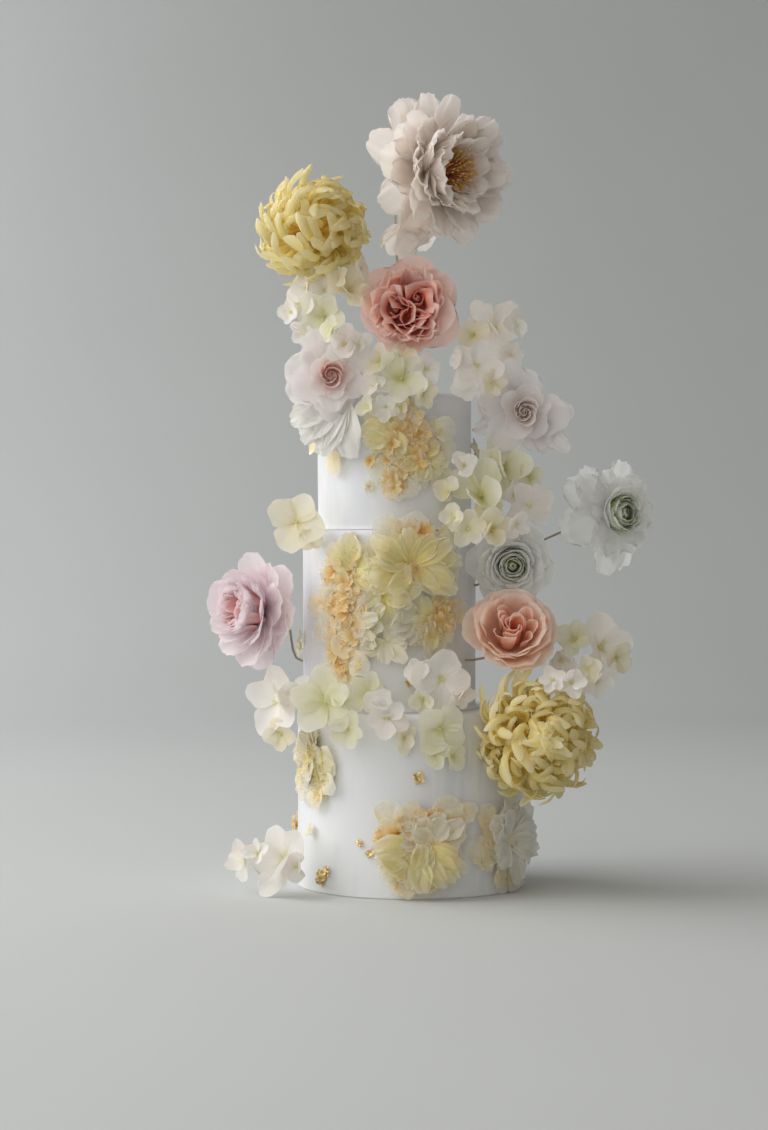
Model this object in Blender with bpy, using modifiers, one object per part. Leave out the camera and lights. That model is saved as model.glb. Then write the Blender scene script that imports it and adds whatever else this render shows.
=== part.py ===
"""A tiered wedding cake dressed with sugar flowers.

Three straight-sided iced tiers stand on each other, each a little off the one below.  Large wired
blooms stand above and beside them, small four and five petalled blossoms fill the gaps, and low
reliefs of pressed petals cling to the icing.  The origin is the middle of the underside of the
bottom tier, +Z is up and the dressed front of the cake faces -Y.
"""
import math
import random
from collections import namedtuple

import bmesh
import bpy
from mathutils import Vector

MM = 0.001

# ---- Driving dimensions ------------------------------------------------------------------------

# The bottom tier is an eight inch cake, and the two above are six and about five and a half.
Tier = namedtuple("Tier", "radius height centre_x")
BOTTOM = Tier(radius=100 * MM, height=155 * MM, centre_x=0.0)
MIDDLE = Tier(radius=76.5 * MM, height=155 * MM, centre_x=-19 * MM)
TOP = Tier(radius=68 * MM, height=117 * MM, centre_x=-14.5 * MM)

ICING_EDGE = 4 * MM        # rounding of the icing over each tier's edges
TIER_SIDES = 40
TOUCH_GAP = 0.3 * MM       # between a tier and the one it stands on
RELIEF_GAP = 1.0 * MM      # between a relief and the round side that it clings to
WIRE_RADIUS = 1.0 * MM     # a taped florist's wire
WIRE_GAP = 0.5 * MM        # between a wire's end and what it enters
WIRE_STEPS = 6
WIRE_PULL = 0.35           # how far, as a share of its span, a wire runs on before it bends

BOTTOM_TOP = BOTTOM.height
MIDDLE_BASE = BOTTOM_TOP + TOUCH_GAP
MIDDLE_TOP = MIDDLE_BASE + MIDDLE.height - TOUCH_GAP
TOP_BASE = MIDDLE_TOP + TOUCH_GAP
TOP_TOP = TOP_BASE + TOP.height - TOUCH_GAP

# ---- Colours: the icing, each kind of petal, and the wire ---------------------------------------

COLOURS = {
    "icing": (0.86, 0.86, 0.86),
    "blush": (0.86, 0.74, 0.70),
    "primrose": (0.84, 0.72, 0.32),
    "coral": (0.78, 0.36, 0.28),
    "shell_pink": (0.84, 0.66, 0.64),
    "mauve_white": (0.72, 0.69, 0.70),
    "cool_white": (0.80, 0.83, 0.83),
    "apricot": (0.82, 0.42, 0.30),
    "lilac_pink": (0.80, 0.66, 0.68),
    "cream": (0.84, 0.80, 0.62),
    "petal_white": (0.84, 0.83, 0.78),
    "leaf_cream": (0.74, 0.76, 0.52),
    "ochre": (0.76, 0.52, 0.26),
    "straw": (0.80, 0.76, 0.42),
    "wire": (0.20, 0.19, 0.15),
}

# ---- Forms: what a bloom's tiers of petals look like, as shares of its radius --------------------

# A ring is one loop of points round a bloom, from its heart out over the rim and in again at the
# back.  Its reach and rise are shares of the bloom's radius.  It bulges once for each petal, with
# a notch between two petals that is "notch" of its reach deep.  The petals of one tier sit over
# the gaps of the tier before.
Ring = namedtuple("Ring", "reach rise petals notch tier")
Form = namedtuple("Form", "segments heart rings back")

ROSE = Form(20, 0.34, (
    Ring(0.14, 0.42, 5, 0.20, 0),
    Ring(0.26, 0.32, 5, 0.20, 1),
    Ring(0.40, 0.46, 5, 0.22, 1),
    Ring(0.50, 0.28, 5, 0.16, 2),
    Ring(0.68, 0.40, 5, 0.18, 2),
    Ring(0.74, 0.16, 5, 0.10, 3),
    Ring(1.00, 0.22, 5, 0.16, 3),
    Ring(0.78, -0.12, 5, 0.10, 3),
    Ring(0.24, -0.34, 5, 0.10, 3),
), -0.42)

PEONY = Form(20, 0.10, (
    Ring(0.16, 0.14, 5, 0.15, 0),
    Ring(0.30, 0.36, 5, 0.24, 0),
    Ring(0.42, 0.18, 5, 0.12, 1),
    Ring(0.60, 0.42, 5, 0.20, 1),
    Ring(0.70, 0.16, 5, 0.10, 2),
    Ring(0.90, 0.32, 10, 0.10, 2),
    Ring(1.00, 0.04, 5, 0.16, 3),
    Ring(0.80, -0.22, 5, 0.12, 3),
    Ring(0.26, -0.42, 5, 0.10, 3),
), -0.50)

RANUNCULUS = Form(20, 0.44, (
    Ring(0.14, 0.40, 5, 0.10, 0),
    Ring(0.26, 0.28, 5, 0.10, 1),
    Ring(0.38, 0.42, 5, 0.14, 1),
    Ring(0.50, 0.24, 5, 0.10, 2),
    Ring(0.66, 0.34, 5, 0.16, 2),
    Ring(0.76, 0.10, 5, 0.10, 3),
    Ring(1.00, 0.14, 10, 0.14, 3),
    Ring(0.74, -0.10, 5, 0.10, 3),
    Ring(0.22, -0.30, 5, 0.10, 3),
), -0.38)

OPEN_ROSE = Form(20, 0.46, (
    Ring(0.16, 0.44, 5, 0.14, 0),
    Ring(0.32, 0.34, 5, 0.12, 1),
    Ring(0.38, 0.12, 5, 0.08, 1),
    Ring(0.50, 0.06, 5, 0.08, 2),
    Ring(0.76, 0.20, 5, 0.20, 2),
    Ring(1.00, 0.20, 5, 0.30, 3),
    Ring(0.74, 0.00, 5, 0.20, 3),
    Ring(0.26, -0.20, 5, 0.10, 3),
), -0.34)

CHRYSANTHEMUM = Form(20, 0.70, (
    Ring(0.18, 0.76, 5, 0.20, 0),
    Ring(0.44, 0.66, 10, 0.24, 1),
    Ring(0.68, 0.56, 10, 0.24, 2),
    Ring(0.88, 0.36, 10, 0.22, 3),
    Ring(1.00, 0.12, 10, 0.20, 4),
    Ring(0.96, -0.12, 10, 0.20, 5),
    Ring(0.72, -0.28, 10, 0.16, 6),
    Ring(0.30, -0.40, 5, 0.10, 6),
), -0.46)

BLOSSOM_FIVE = Form(20, 0.05, (
    Ring(0.56, 0.20, 5, 0.30, 0),
    Ring(1.00, 0.24, 5, 0.34, 0),
    Ring(0.50, -0.06, 5, 0.20, 0),
), -0.22)

BLOSSOM_FOUR = Form(16, 0.04, (
    Ring(0.56, 0.18, 4, 0.36, 0),
    Ring(1.00, 0.22, 4, 0.40, 0),
    Ring(0.48, -0.08, 4, 0.22, 0),
), -0.22)

SMALL_BLOSSOM = Form(20, 0.04, (
    Ring(0.96, 0.22, 5, 0.34, 0),
    Ring(0.56, -0.06, 5, 0.20, 0),
), -0.24)

UNEVEN_OVAL = 0.05         # how far a bloom's outline strays from round
UNEVEN_LEAN = 0.04

# ---- Blooms: where each one stands and which way it faces ---------------------------------------

# A bloom's place is an azimuth round the axis of its tier (0 at the front, + to the right), a
# reach from that axis and a height above the board.  It faces the azimuth "faces", raised by
# "tilt".  Azimuths and tilts are degrees, lengths are millimetres.
Bloom = namedtuple("Bloom", "name form colour tier azimuth reach height radius faces tilt")

LARGE_BLOOMS = (
    Bloom("peony_crown", PEONY, "blush", TOP, 76, 37, 621, 72, 30, -4),
    Bloom("chrysanthemum_left", CHRYSANTHEMUM, "primrose", TOP, -74, 74, 569, 53, 4, 18),
    Bloom("garden_rose_pink", ROSE, "coral", TOP, 12, 61, 502, 45, 0, 5),
    Bloom("rose_blush", OPEN_ROSE, "shell_pink", TOP, -39, 81, 439, 43, 0, 0),
    Bloom("rose_white", OPEN_ROSE, "mauve_white", TOP, 80, 110, 417, 45, 5, -5),
    Bloom("ranunculus_far", RANUNCULUS, "cool_white", MIDDLE, 96, 189, 321, 50, 22, 4),
    Bloom("ranunculus_near", RANUNCULUS, "cool_white", MIDDLE, 66, 113, 280, 38, 4, -4),
    Bloom("rose_peach", ROSE, "apricot", MIDDLE, 51, 128, 221, 42, 4, 30),
    Bloom("peony_left", PEONY, "lilac_pink", MIDDLE, -75, 119, 238, 53, -52, 4),
    Bloom("chrysanthemum_right", CHRYSANTHEMUM, "primrose", BOTTOM, 48, 142, 138, 58, 8, 0),
)

SMALL_BLOOMS = (
    Bloom("blossom_crown_1", BLOSSOM_FIVE, "cream", TOP, -36, 66, 519, 21, 18, 10),
    Bloom("blossom_crown_2", SMALL_BLOSSOM, "petal_white", TOP, -64, 92, 503, 19, -30, 5),
    Bloom("blossom_crown_3", BLOSSOM_FIVE, "leaf_cream", TOP, -47, 81, 491, 22, -12, -5),
    Bloom("blossom_crown_4", SMALL_BLOSSOM, "petal_white", TOP, -52, 76, 513, 15, -10, 15),
    Bloom("blossom_crown_5", SMALL_BLOSSOM, "petal_white", TOP, -27, 92, 470, 18, 0, -5),
    Bloom("blossom_crown_6", BLOSSOM_FIVE, "petal_white", TOP, 71, 93, 481, 29, 25, 8),
    Bloom("blossom_crown_7", BLOSSOM_FIVE, "petal_white", TOP, 52, 89, 450, 24, 12, -5),
    Bloom("blossom_rim_1", BLOSSOM_FIVE, "leaf_cream", TOP, 2, 77, 438, 24, 0, 10),
    Bloom("blossom_rim_2", SMALL_BLOSSOM, "petal_white", TOP, -6, 78, 412, 14, -6, -10),
    Bloom("blossom_left_high", BLOSSOM_FOUR, "cream", MIDDLE, -55, 95, 315, 26, -18, 5),
    Bloom("blossom_cluster_1", BLOSSOM_FIVE, "leaf_cream", TOP, 45, 99, 342, 28, 0, 5),
    Bloom("blossom_cluster_2", BLOSSOM_FOUR, "leaf_cream", TOP, 65, 107, 362, 25, 15, 12),
    Bloom("blossom_cluster_3", SMALL_BLOSSOM, "cream", MIDDLE, 40, 105, 311, 17, 0, -8),
    Bloom("blossom_cluster_4", SMALL_BLOSSOM, "cream", MIDDLE, 47, 124, 314, 18, 8, -8),
    Bloom("blossom_cluster_5", BLOSSOM_FOUR, "petal_white", MIDDLE, 63, 131, 331, 24, 35, 0),
    Bloom("blossom_garland_1", BLOSSOM_FOUR, "petal_white", MIDDLE, 24, 104, 184, 26, 4, 5),
    Bloom("blossom_garland_2", BLOSSOM_FIVE, "leaf_cream", MIDDLE, -30, 115, 166, 29, -14, 8),
    Bloom("blossom_garland_3", SMALL_BLOSSOM, "leaf_cream", BOTTOM, -27, 118, 143, 18, -20, -10),
    Bloom("blossom_garland_4", SMALL_BLOSSOM, "leaf_cream", MIDDLE, -12, 92, 171, 21, -4, 15),
    Bloom("blossom_garland_5", SMALL_BLOSSOM, "petal_white", BOTTOM, -11, 112, 152, 20, -4, 10),
    Bloom("blossom_garland_6", SMALL_BLOSSOM, "cream", BOTTOM, -3, 107, 136, 13, 0, -5),
    Bloom("blossom_garland_7", BLOSSOM_FIVE, "petal_white", MIDDLE, -54, 118, 162, 32, -38, 8),
    Bloom("blossom_garland_8", BLOSSOM_FOUR, "leaf_cream", BOTTOM, 13, 106, 143, 24, 8, -5),
    Bloom("blossom_spray_1", BLOSSOM_FOUR, "petal_white", MIDDLE, 72, 195, 208, 28, 15, 5),
    Bloom("blossom_spray_2", SMALL_BLOSSOM, "leaf_cream", MIDDLE, 76, 164, 215, 20, 10, 10),
    Bloom("blossom_spray_3", SMALL_BLOSSOM, "petal_white", MIDDLE, 50, 195, 182, 15, 4, 20),
    Bloom("blossom_spray_4", SMALL_BLOSSOM, "petal_white", MIDDLE, 60, 200, 180, 16, 25, 10),
    Bloom("blossom_base_1", BLOSSOM_FIVE, "petal_white", BOTTOM, -56, 133, 28, 31, -35, 12),
    Bloom("blossom_base_2", SMALL_BLOSSOM, "petal_white", BOTTOM, -69, 158, 28, 18, -45, 10),
)

# ---- Reliefs: low patches of pressed petals ------------------------------------------------------

# A relief spans from one azimuth to another on a tier's side, and from one height above the board
# to another.  "clumps" is how many clumps of petals its outline shows.  Degrees and millimetres.
Relief = namedtuple("Relief", "name colour tier left right low high thickness clumps")

RELIEFS = (
    Relief("relief_top_ochre", "ochre", TOP, -16, 40, 346, 410, 7, 6),
    Relief("relief_top_frill", "petal_white", TOP, -84, -32, 366, 420, 12, 5),
    Relief("relief_middle_ochre", "ochre", MIDDLE, -46, -12, 176, 302, 8, 7),
    Relief("relief_middle_fan", "straw", MIDDLE, -9, 42, 258, 318, 11, 5),
    Relief("relief_middle_right", "ochre", MIDDLE, 18, 45, 212, 250, 7, 4),
    Relief("relief_bottom_left", "cream", BOTTOM, -76, -40, 82, 134, 9, 5),
    Relief("relief_bottom_front", "ochre", BOTTOM, -20, 27, 6, 84, 12, 6),
    Relief("relief_bottom_right", "leaf_cream", BOTTOM, 31, 80, 5, 76, 9, 5),
)

RELIEF_SEGMENTS = 24
RELIEF_RINGS = 5
CLUMP_NOTCH = 0.26         # how deep a relief's outline is cut between two clumps
CLUMP_RISE = 0.55          # how much lower its face lies between them

# ---- Wires: which tier carries each large bloom --------------------------------------------------

# A wire leaves the back of its bloom and enters the cake at an azimuth, a reach from the tier's
# axis and a height above the board.  Where the reach is None it enters the tier's side.
Wire = namedtuple("Wire", "bloom tier azimuth reach height")

WIRES = (
    Wire("peony_crown", TOP, 60, 14, None),
    Wire("chrysanthemum_left", TOP, -80, 34, None),
    Wire("garden_rose_pink", TOP, 10, 26, None),
    Wire("rose_blush", TOP, -50, 48, None),
    Wire("rose_white", TOP, 90, None, 398),
    Wire("ranunculus_far", MIDDLE, 95, None, 286),
    Wire("ranunculus_near", MIDDLE, 72, None, 262),
    Wire("rose_peach", MIDDLE, 58, None, 198),
    Wire("peony_left", MIDDLE, -78, None, 196),
    Wire("chrysanthemum_right", BOTTOM, 52, None, 118),
)


# ---- Helpers -------------------------------------------------------------------------------------

def clear_scene():
    """Removes whatever the scene holds, so that the part is alone in it."""
    for found in list(bpy.data.objects):
        bpy.data.objects.remove(found)


def petal_material(colour):
    """The matt sugar paste, icing or wire of one colour."""
    name = f"sugar_{colour}"
    if name in bpy.data.materials:
        return bpy.data.materials[name]
    material = bpy.data.materials.new(name)
    material.use_nodes = True
    shader = material.node_tree.nodes["Principled BSDF"]
    shader.inputs["Base Color"].default_value = (*COLOURS[colour], 1.0)
    shader.inputs["Roughness"].default_value = 0.6
    shader.inputs["Metallic"].default_value = 0.0
    return material


def around(tier, azimuth, reach, height):
    """The point at an azimuth in degrees, a reach from a tier's axis and a height."""
    turn = math.radians(azimuth)
    return Vector((tier.centre_x + reach * math.sin(turn), -reach * math.cos(turn), height))


def facing(azimuth, tilt):
    """The unit vector that points to an azimuth and is raised by a tilt, both in degrees."""
    turn = math.radians(azimuth)
    rise = math.radians(tilt)
    level = math.cos(rise)
    return Vector((math.sin(turn) * level, -math.cos(turn) * level, math.sin(rise)))


def place(name, mesh, colour, collection):
    """Links a mesh as an object of the cake, smooth but for its sharp folds."""
    mesh.materials.append(petal_material(colour))
    mesh.shade_smooth()
    mesh.set_sharp_from_angle(angle=math.radians(50))
    placed = bpy.data.objects.new(name, mesh)
    collection.objects.link(placed)
    return placed


# ---- Tiers ---------------------------------------------------------------------------------------

def make_tier(name, tier, base, top, collection):
    """One cake under smooth icing: a cylinder with its edges rounded over."""
    bpy.ops.mesh.primitive_cylinder_add(
        vertices=TIER_SIDES,
        radius=tier.radius,
        depth=top - base,
        location=(tier.centre_x, 0.0, (base + top) / 2),
    )
    cake = bpy.context.object
    cake.name = name
    cake.data.name = name
    for home in list(cake.users_collection):
        home.objects.unlink(cake)
    collection.objects.link(cake)
    cake.data.materials.append(petal_material("icing"))
    rounding = cake.modifiers.new("icing_edge", "BEVEL")
    rounding.width = ICING_EDGE
    rounding.segments = 2
    rounding.limit_method = "ANGLE"
    rounding.angle_limit = math.radians(60)
    cake.data.shade_smooth()
    cake.data.set_sharp_from_angle(angle=math.radians(40))
    return cake


# ---- Blooms --------------------------------------------------------------------------------------

def bloom_mesh(name, form, radius):
    """A closed bloom facing local +Z: a sphere whose rings are drawn into tiers of petals."""
    chance = random.Random(name)
    oval_turn = chance.uniform(0, math.tau)
    lean_turn = chance.uniform(0, math.tau)
    spin = chance.uniform(0, math.tau)
    mesh = bpy.data.meshes.new(name)
    shape = bmesh.new()
    steps = len(form.rings) + 1
    bmesh.ops.create_uvsphere(shape, u_segments=form.segments, v_segments=steps, radius=1.0)
    for vertex in shape.verts:
        polar = math.acos(max(-1.0, min(1.0, vertex.co.z)))
        level = round(polar / math.pi * steps)
        if level == 0:
            vertex.co = Vector((0.0, 0.0, form.heart * radius))
            continue
        if level == steps:
            vertex.co = Vector((0.0, 0.0, form.back * radius))
            continue
        ring = form.rings[level - 1]
        angle = math.atan2(vertex.co.y, vertex.co.x)
        petal = abs(math.cos((ring.petals * angle + ring.tier * math.pi) / 2))
        oval = UNEVEN_OVAL * math.cos(2 * angle - oval_turn)
        lean = UNEVEN_LEAN * math.cos(angle - lean_turn)
        reach = ring.reach * radius * (1 - ring.notch * (1 - petal) + oval)
        rise = (ring.rise + lean * ring.reach) * radius
        turned = angle + spin
        vertex.co = Vector((reach * math.cos(turned), reach * math.sin(turned), rise))
    shape.to_mesh(mesh)
    shape.free()
    return mesh


def bloom_centre(bloom):
    """The middle of a bloom's widest ring, in the cake's frame."""
    return around(bloom.tier, bloom.azimuth, bloom.reach * MM, bloom.height * MM)


def make_bloom(bloom, collection):
    """One flower in its place, turned to face its own way."""
    mesh = bloom_mesh(bloom.name, bloom.form, bloom.radius * MM)
    flower = place(bloom.name, mesh, bloom.colour, collection)
    flower.location = bloom_centre(bloom)
    flower.rotation_euler = (math.radians(90 - bloom.tilt), 0.0, math.radians(bloom.faces))
    return flower


# ---- Reliefs -------------------------------------------------------------------------------------

def make_relief(relief, collection):
    """A low clump of pressed petals, bent round a tier's side with a flat back."""
    chance = random.Random(relief.name)
    clump_turn = chance.uniform(0, math.tau)
    half_turn = (relief.right - relief.left) / 2
    middle_turn = (relief.right + relief.left) / 2
    half_height = (relief.high - relief.low) / 2 * MM
    middle_height = (relief.high + relief.low) / 2 * MM
    mesh = bpy.data.meshes.new(relief.name)
    shape = bmesh.new()
    bmesh.ops.create_uvsphere(
        shape, u_segments=RELIEF_SEGMENTS, v_segments=RELIEF_RINGS, radius=1.0
    )
    for vertex in shape.verts:
        angle = math.atan2(vertex.co.y, vertex.co.x)
        spread = math.hypot(vertex.co.x, vertex.co.y)
        hollow = 1 - abs(math.cos((relief.clumps * angle + clump_turn) / 2))
        outline = spread * (1 - CLUMP_NOTCH * hollow)
        face = max(0.0, vertex.co.z) * (1 - CLUMP_RISE * hollow * spread)
        across = middle_turn + half_turn * outline * math.cos(angle)
        height = middle_height + half_height * outline * math.sin(angle)
        reach = relief.tier.radius + RELIEF_GAP + relief.thickness * MM * face
        vertex.co = around(relief.tier, across, reach, height)
    shape.to_mesh(mesh)
    shape.free()
    return place(relief.name, mesh, relief.colour, collection)


# ---- Wires ---------------------------------------------------------------------------------------

def wire_end(wire):
    """Where a wire meets the icing, and the direction out of the icing there."""
    if wire.reach is None:
        outward = facing(wire.azimuth, 0)
        reach = wire.tier.radius + WIRE_GAP
        return around(wire.tier, wire.azimuth, reach, wire.height * MM), outward
    top = TOP_TOP + WIRE_GAP
    return around(wire.tier, wire.azimuth, wire.reach * MM, top), Vector((0.0, 0.0, 1.0))


def make_wire(wire, bloom, collection):
    """A taped wire that leaves the back of its bloom and bends into the cake."""
    forward = facing(bloom.faces, bloom.tilt)
    start = bloom_centre(bloom) + forward * (bloom.form.back * bloom.radius * MM - WIRE_GAP)
    end, outward = wire_end(wire)
    span = (start - end).length
    near_bloom = start - forward * span * WIRE_PULL
    near_cake = end + outward * span * WIRE_PULL
    curve = bpy.data.curves.new(f"wire_{bloom.name}", "CURVE")
    curve.dimensions = "3D"
    curve.bevel_depth = WIRE_RADIUS
    curve.bevel_resolution = 1
    curve.use_fill_caps = True
    route = curve.splines.new("POLY")
    route.points.add(WIRE_STEPS)
    for step in range(WIRE_STEPS + 1):
        along = step / WIRE_STEPS
        back = 1 - along
        point = (
            start * back**3
            + near_bloom * 3 * back**2 * along
            + near_cake * 3 * back * along**2
            + end * along**3
        )
        route.points[step].co = (*point, 1.0)
    curve.materials.append(petal_material("wire"))
    stem = bpy.data.objects.new(curve.name, curve)
    collection.objects.link(stem)
    return stem


# ---- The cake ------------------------------------------------------------------------------------

def main():
    clear_scene()
    cake = bpy.data.collections.new("tiered_wedding_cake")
    bpy.context.scene.collection.children.link(cake)

    make_tier("tier_bottom", BOTTOM, 0.0, BOTTOM_TOP, cake)
    make_tier("tier_middle", MIDDLE, MIDDLE_BASE, MIDDLE_TOP, cake)
    make_tier("tier_top", TOP, TOP_BASE, TOP_TOP, cake)

    for bloom in LARGE_BLOOMS + SMALL_BLOOMS:
        make_bloom(bloom, cake)
    for relief in RELIEFS:
        make_relief(relief, cake)

    carried = {bloom.name: bloom for bloom in LARGE_BLOOMS}
    for wire in WIRES:
        make_wire(wire, carried[wire.bloom], cake)


main()
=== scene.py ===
# %% [markdown]
# # Dressing a tiered cake with sugar flowers
# The cake is three round tiers under smooth white icing. A trail of sugar flowers runs from its
# crown down the front and the right side. Its sizes are settled already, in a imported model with
# one plain solid for each tier, flower, patch and wire. This lesson puts the real surfaces around
# those solids: thin petals, stamens, pressed florets, gold leaf and icing.

import math
import zlib

import bpy
import numpy as np
from mathutils import Matrix, Vector


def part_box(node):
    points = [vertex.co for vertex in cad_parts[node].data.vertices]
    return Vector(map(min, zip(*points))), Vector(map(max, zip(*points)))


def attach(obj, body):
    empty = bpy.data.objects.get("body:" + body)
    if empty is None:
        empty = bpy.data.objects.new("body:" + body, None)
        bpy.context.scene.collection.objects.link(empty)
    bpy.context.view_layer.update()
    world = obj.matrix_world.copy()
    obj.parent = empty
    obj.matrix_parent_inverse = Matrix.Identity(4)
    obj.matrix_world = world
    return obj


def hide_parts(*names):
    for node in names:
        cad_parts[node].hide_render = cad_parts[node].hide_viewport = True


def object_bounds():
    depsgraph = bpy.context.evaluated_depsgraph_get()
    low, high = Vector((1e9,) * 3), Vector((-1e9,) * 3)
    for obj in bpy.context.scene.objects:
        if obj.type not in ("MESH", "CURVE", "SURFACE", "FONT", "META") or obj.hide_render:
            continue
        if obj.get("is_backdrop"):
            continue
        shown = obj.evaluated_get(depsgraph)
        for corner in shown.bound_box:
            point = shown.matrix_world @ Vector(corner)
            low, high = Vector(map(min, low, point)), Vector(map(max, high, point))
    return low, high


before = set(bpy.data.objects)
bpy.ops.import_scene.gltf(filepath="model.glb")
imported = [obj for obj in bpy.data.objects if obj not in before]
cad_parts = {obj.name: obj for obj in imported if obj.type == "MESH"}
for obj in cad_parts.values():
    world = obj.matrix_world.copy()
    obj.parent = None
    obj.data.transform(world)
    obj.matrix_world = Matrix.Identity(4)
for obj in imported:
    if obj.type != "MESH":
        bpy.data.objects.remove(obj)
cad_low, cad_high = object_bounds()
MM = 0.001
FLOOR_GAP = 0.8 * MM  # no petal comes nearer to the floor than this
FRONT_REACH = 5 * MM  # nor further out than this past the plain cake's front
GOLDEN_TURN = 137.5  # degrees from one petal to the next; it never lays one over another
GOLDEN_RADIANS = 2.39996  # the same turn in radians, for stamens and florets
print(f"{len(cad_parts)} plain pieces, {(cad_high - cad_low).z / MM:.0f} mm high")

# %% [markdown]
# ## Materials as sums
# A finish is a network of nodes, and most of those nodes only add or multiply. Wired by hand they
# are hard to read. A small class that stands for "the value in this socket" lets Python's own
# operators add those nodes, so that a line such as `0.6 - veins * 0.1` reads as what it does.

# %% A value that flows through a finish
class Flow:
    """A value on its way through a finish. Python's operators add the maths nodes for it."""

    def __init__(self, finish, socket):
        self.finish = finish
        self.socket = socket

    def twin(self, output):
        """Another output of the node that this value comes from."""
        return Flow(self.finish, self.socket.node.outputs[output])

    def __add__(self, other):
        return self.finish.sum("ADD", self, other)

    def __radd__(self, other):
        return self.finish.sum("ADD", other, self)

    def __sub__(self, other):
        return self.finish.sum("SUBTRACT", self, other)

    def __rsub__(self, other):
        return self.finish.sum("SUBTRACT", other, self)

    def __mul__(self, other):
        return self.finish.sum("MULTIPLY", self, other)

    def __rmul__(self, other):
        return self.finish.sum("MULTIPLY", other, self)


print("a sum of values can be written as a sum")

# %% [markdown]
# One method adds every other kind of node. Its settings come first, because some of them, such as
# a Mix node's data type or the stops of a colour ramp, change what the sockets mean.

# %% A finish that is being made
class Finish:
    """A material and the short words that its recipe is written in."""

    def __init__(self, name):
        self.material = bpy.data.materials.new(name)
        self.material.use_nodes = True
        self.tree = self.material.node_tree
        self.tree.nodes.clear()

    def node(self, kind, settings=None, sockets=None, out=0):
        made = self.tree.nodes.new("ShaderNode" + kind)
        for name, value in (settings or {}).items():
            if name == "stops":
                self.set_stops(made.color_ramp, value)
            else:
                setattr(made, name, value)
        for name, value in (sockets or {}).items():
            self.plug(made.inputs[name], value)
        return Flow(self, made.outputs[out]) if made.outputs else None

    def set_stops(self, ramp, stops):
        ramp.elements.remove(ramp.elements[1])
        ramp.elements[0].position = stops[0][0]
        ramp.elements[0].color = (*stops[0][1], 1.0)
        for place, colour in stops[1:]:
            ramp.elements.new(place).color = (*colour, 1.0)

    def plug(self, socket, value):
        if isinstance(value, Flow):
            self.tree.links.new(value.socket, socket)
        elif socket.type == "RGBA":
            socket.default_value = (*value, 1.0)
        elif socket.type == "VECTOR" and not hasattr(value, "__len__"):
            socket.default_value = (value, value, value)
        else:
            socket.default_value = value

    def sum(self, operation, *values):
        flows = [value for value in values if isinstance(value, Flow)]
        wide = any(flow.socket.type in {"RGBA", "VECTOR"} for flow in flows)
        kind = "VectorMath" if wide else "Math"
        return self.node(kind, {"operation": operation}, dict(enumerate(values)))

    def noise(self, where, scale, detail=2.0, rough=0.5):
        sockets = {"Vector": where, "Scale": scale, "Detail": detail, "Roughness": rough}
        return self.node("TexNoise", {}, sockets)

    def ramp(self, value, stops):
        return self.node("ValToRGB", {"stops": stops}, {"Fac": value})

    def step(self, value, low, high):
        """0 where the value is under low, 1 where it is over high, smooth between them."""
        sockets = {"Value": value, "From Min": low, "From Max": high}
        return self.node("MapRange", {"interpolation_type": "SMOOTHSTEP"}, sockets)

    def mix(self, share, first, second, how="MIX"):
        settings = {"data_type": "RGBA", "blend_type": how}
        return self.node("Mix", settings, {0: share, 6: first, 7: second}, out=2)

    def vector(self, x, y, z):
        return self.node("CombineXYZ", {}, {"X": x, "Y": y, "Z": z})

    def bump(self, height, strength, distance):
        sockets = {"Height": height, "Strength": strength, "Distance": distance}
        return self.node("Bump", {}, sockets)

    def done(self, shader):
        self.node("OutputMaterial", {}, {"Surface": shader})
        return self.material


print("a finish can be written as a recipe")

# %% [markdown]
# ## Thin things in mesh code
# A sugar petal is a skin less than a millimetre thick. It could be a plane with a Solidify
# modifier, but hundreds of modifiers are slow. Here a petal is a grid of points in NumPy. Its
# front and back part in the middle and meet at the rim, so each petal is a closed lens.

# %% A closed skin from a grid of points
def skin(grid, thickness):
    """The points and faces of a closed lens around a grid of points [rows, columns, 3].

    Front and back share the points of the rim. Only the points inside it are there twice.
    """
    rows, columns = grid.shape[:2]
    normal = np.cross(np.gradient(grid, axis=1), np.gradient(grid, axis=0))
    normal /= np.linalg.norm(normal, axis=2, keepdims=True) + 1e-12
    inside = np.s_[1:-1, 1:-1]
    front = grid.copy()
    front[inside] += normal[inside] * thickness / 2
    back = (grid - normal * thickness / 2)[inside].reshape(-1, 3)
    upper = np.arange(rows * columns).reshape(rows, columns)
    lower = upper.copy()
    lower[inside] = rows * columns + np.arange(len(back)).reshape(rows - 2, columns - 2)
    faces = [
        np.stack([upper[:-1, :-1], upper[:-1, 1:], upper[1:, 1:], upper[1:, :-1]], -1),
        np.stack([lower[:-1, :-1], lower[1:, :-1], lower[1:, 1:], lower[:-1, 1:]], -1),
    ]
    points = np.concatenate([front.reshape(-1, 3), back])
    return points, np.concatenate([face.reshape(-1, 4) for face in faces])


def skin_marks(marks):
    """The marks of a grid's points, in the order in which its skin has them."""
    return np.concatenate([marks.reshape(-1, 4), marks[1:-1, 1:-1].reshape(-1, 4)])


flat = np.stack([*np.meshgrid(np.arange(5.0), np.arange(4.0)), np.zeros((4, 5))], -1)
points, faces = skin(flat, 0.5)
print(f"a grid of 4 by 5 points makes a skin of {len(points)} points and {len(faces)} faces")

# %% [markdown]
# Stamens, filaments and pistils are thin rods, and an anther is a small grain. A rod is a loop of
# points carried along a path, with a point at each end that closes it.

# %% Rods and grains
OFF_AXIS = (0.31, 0.17, 0.94)  # a direction that no rod here runs along


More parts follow.
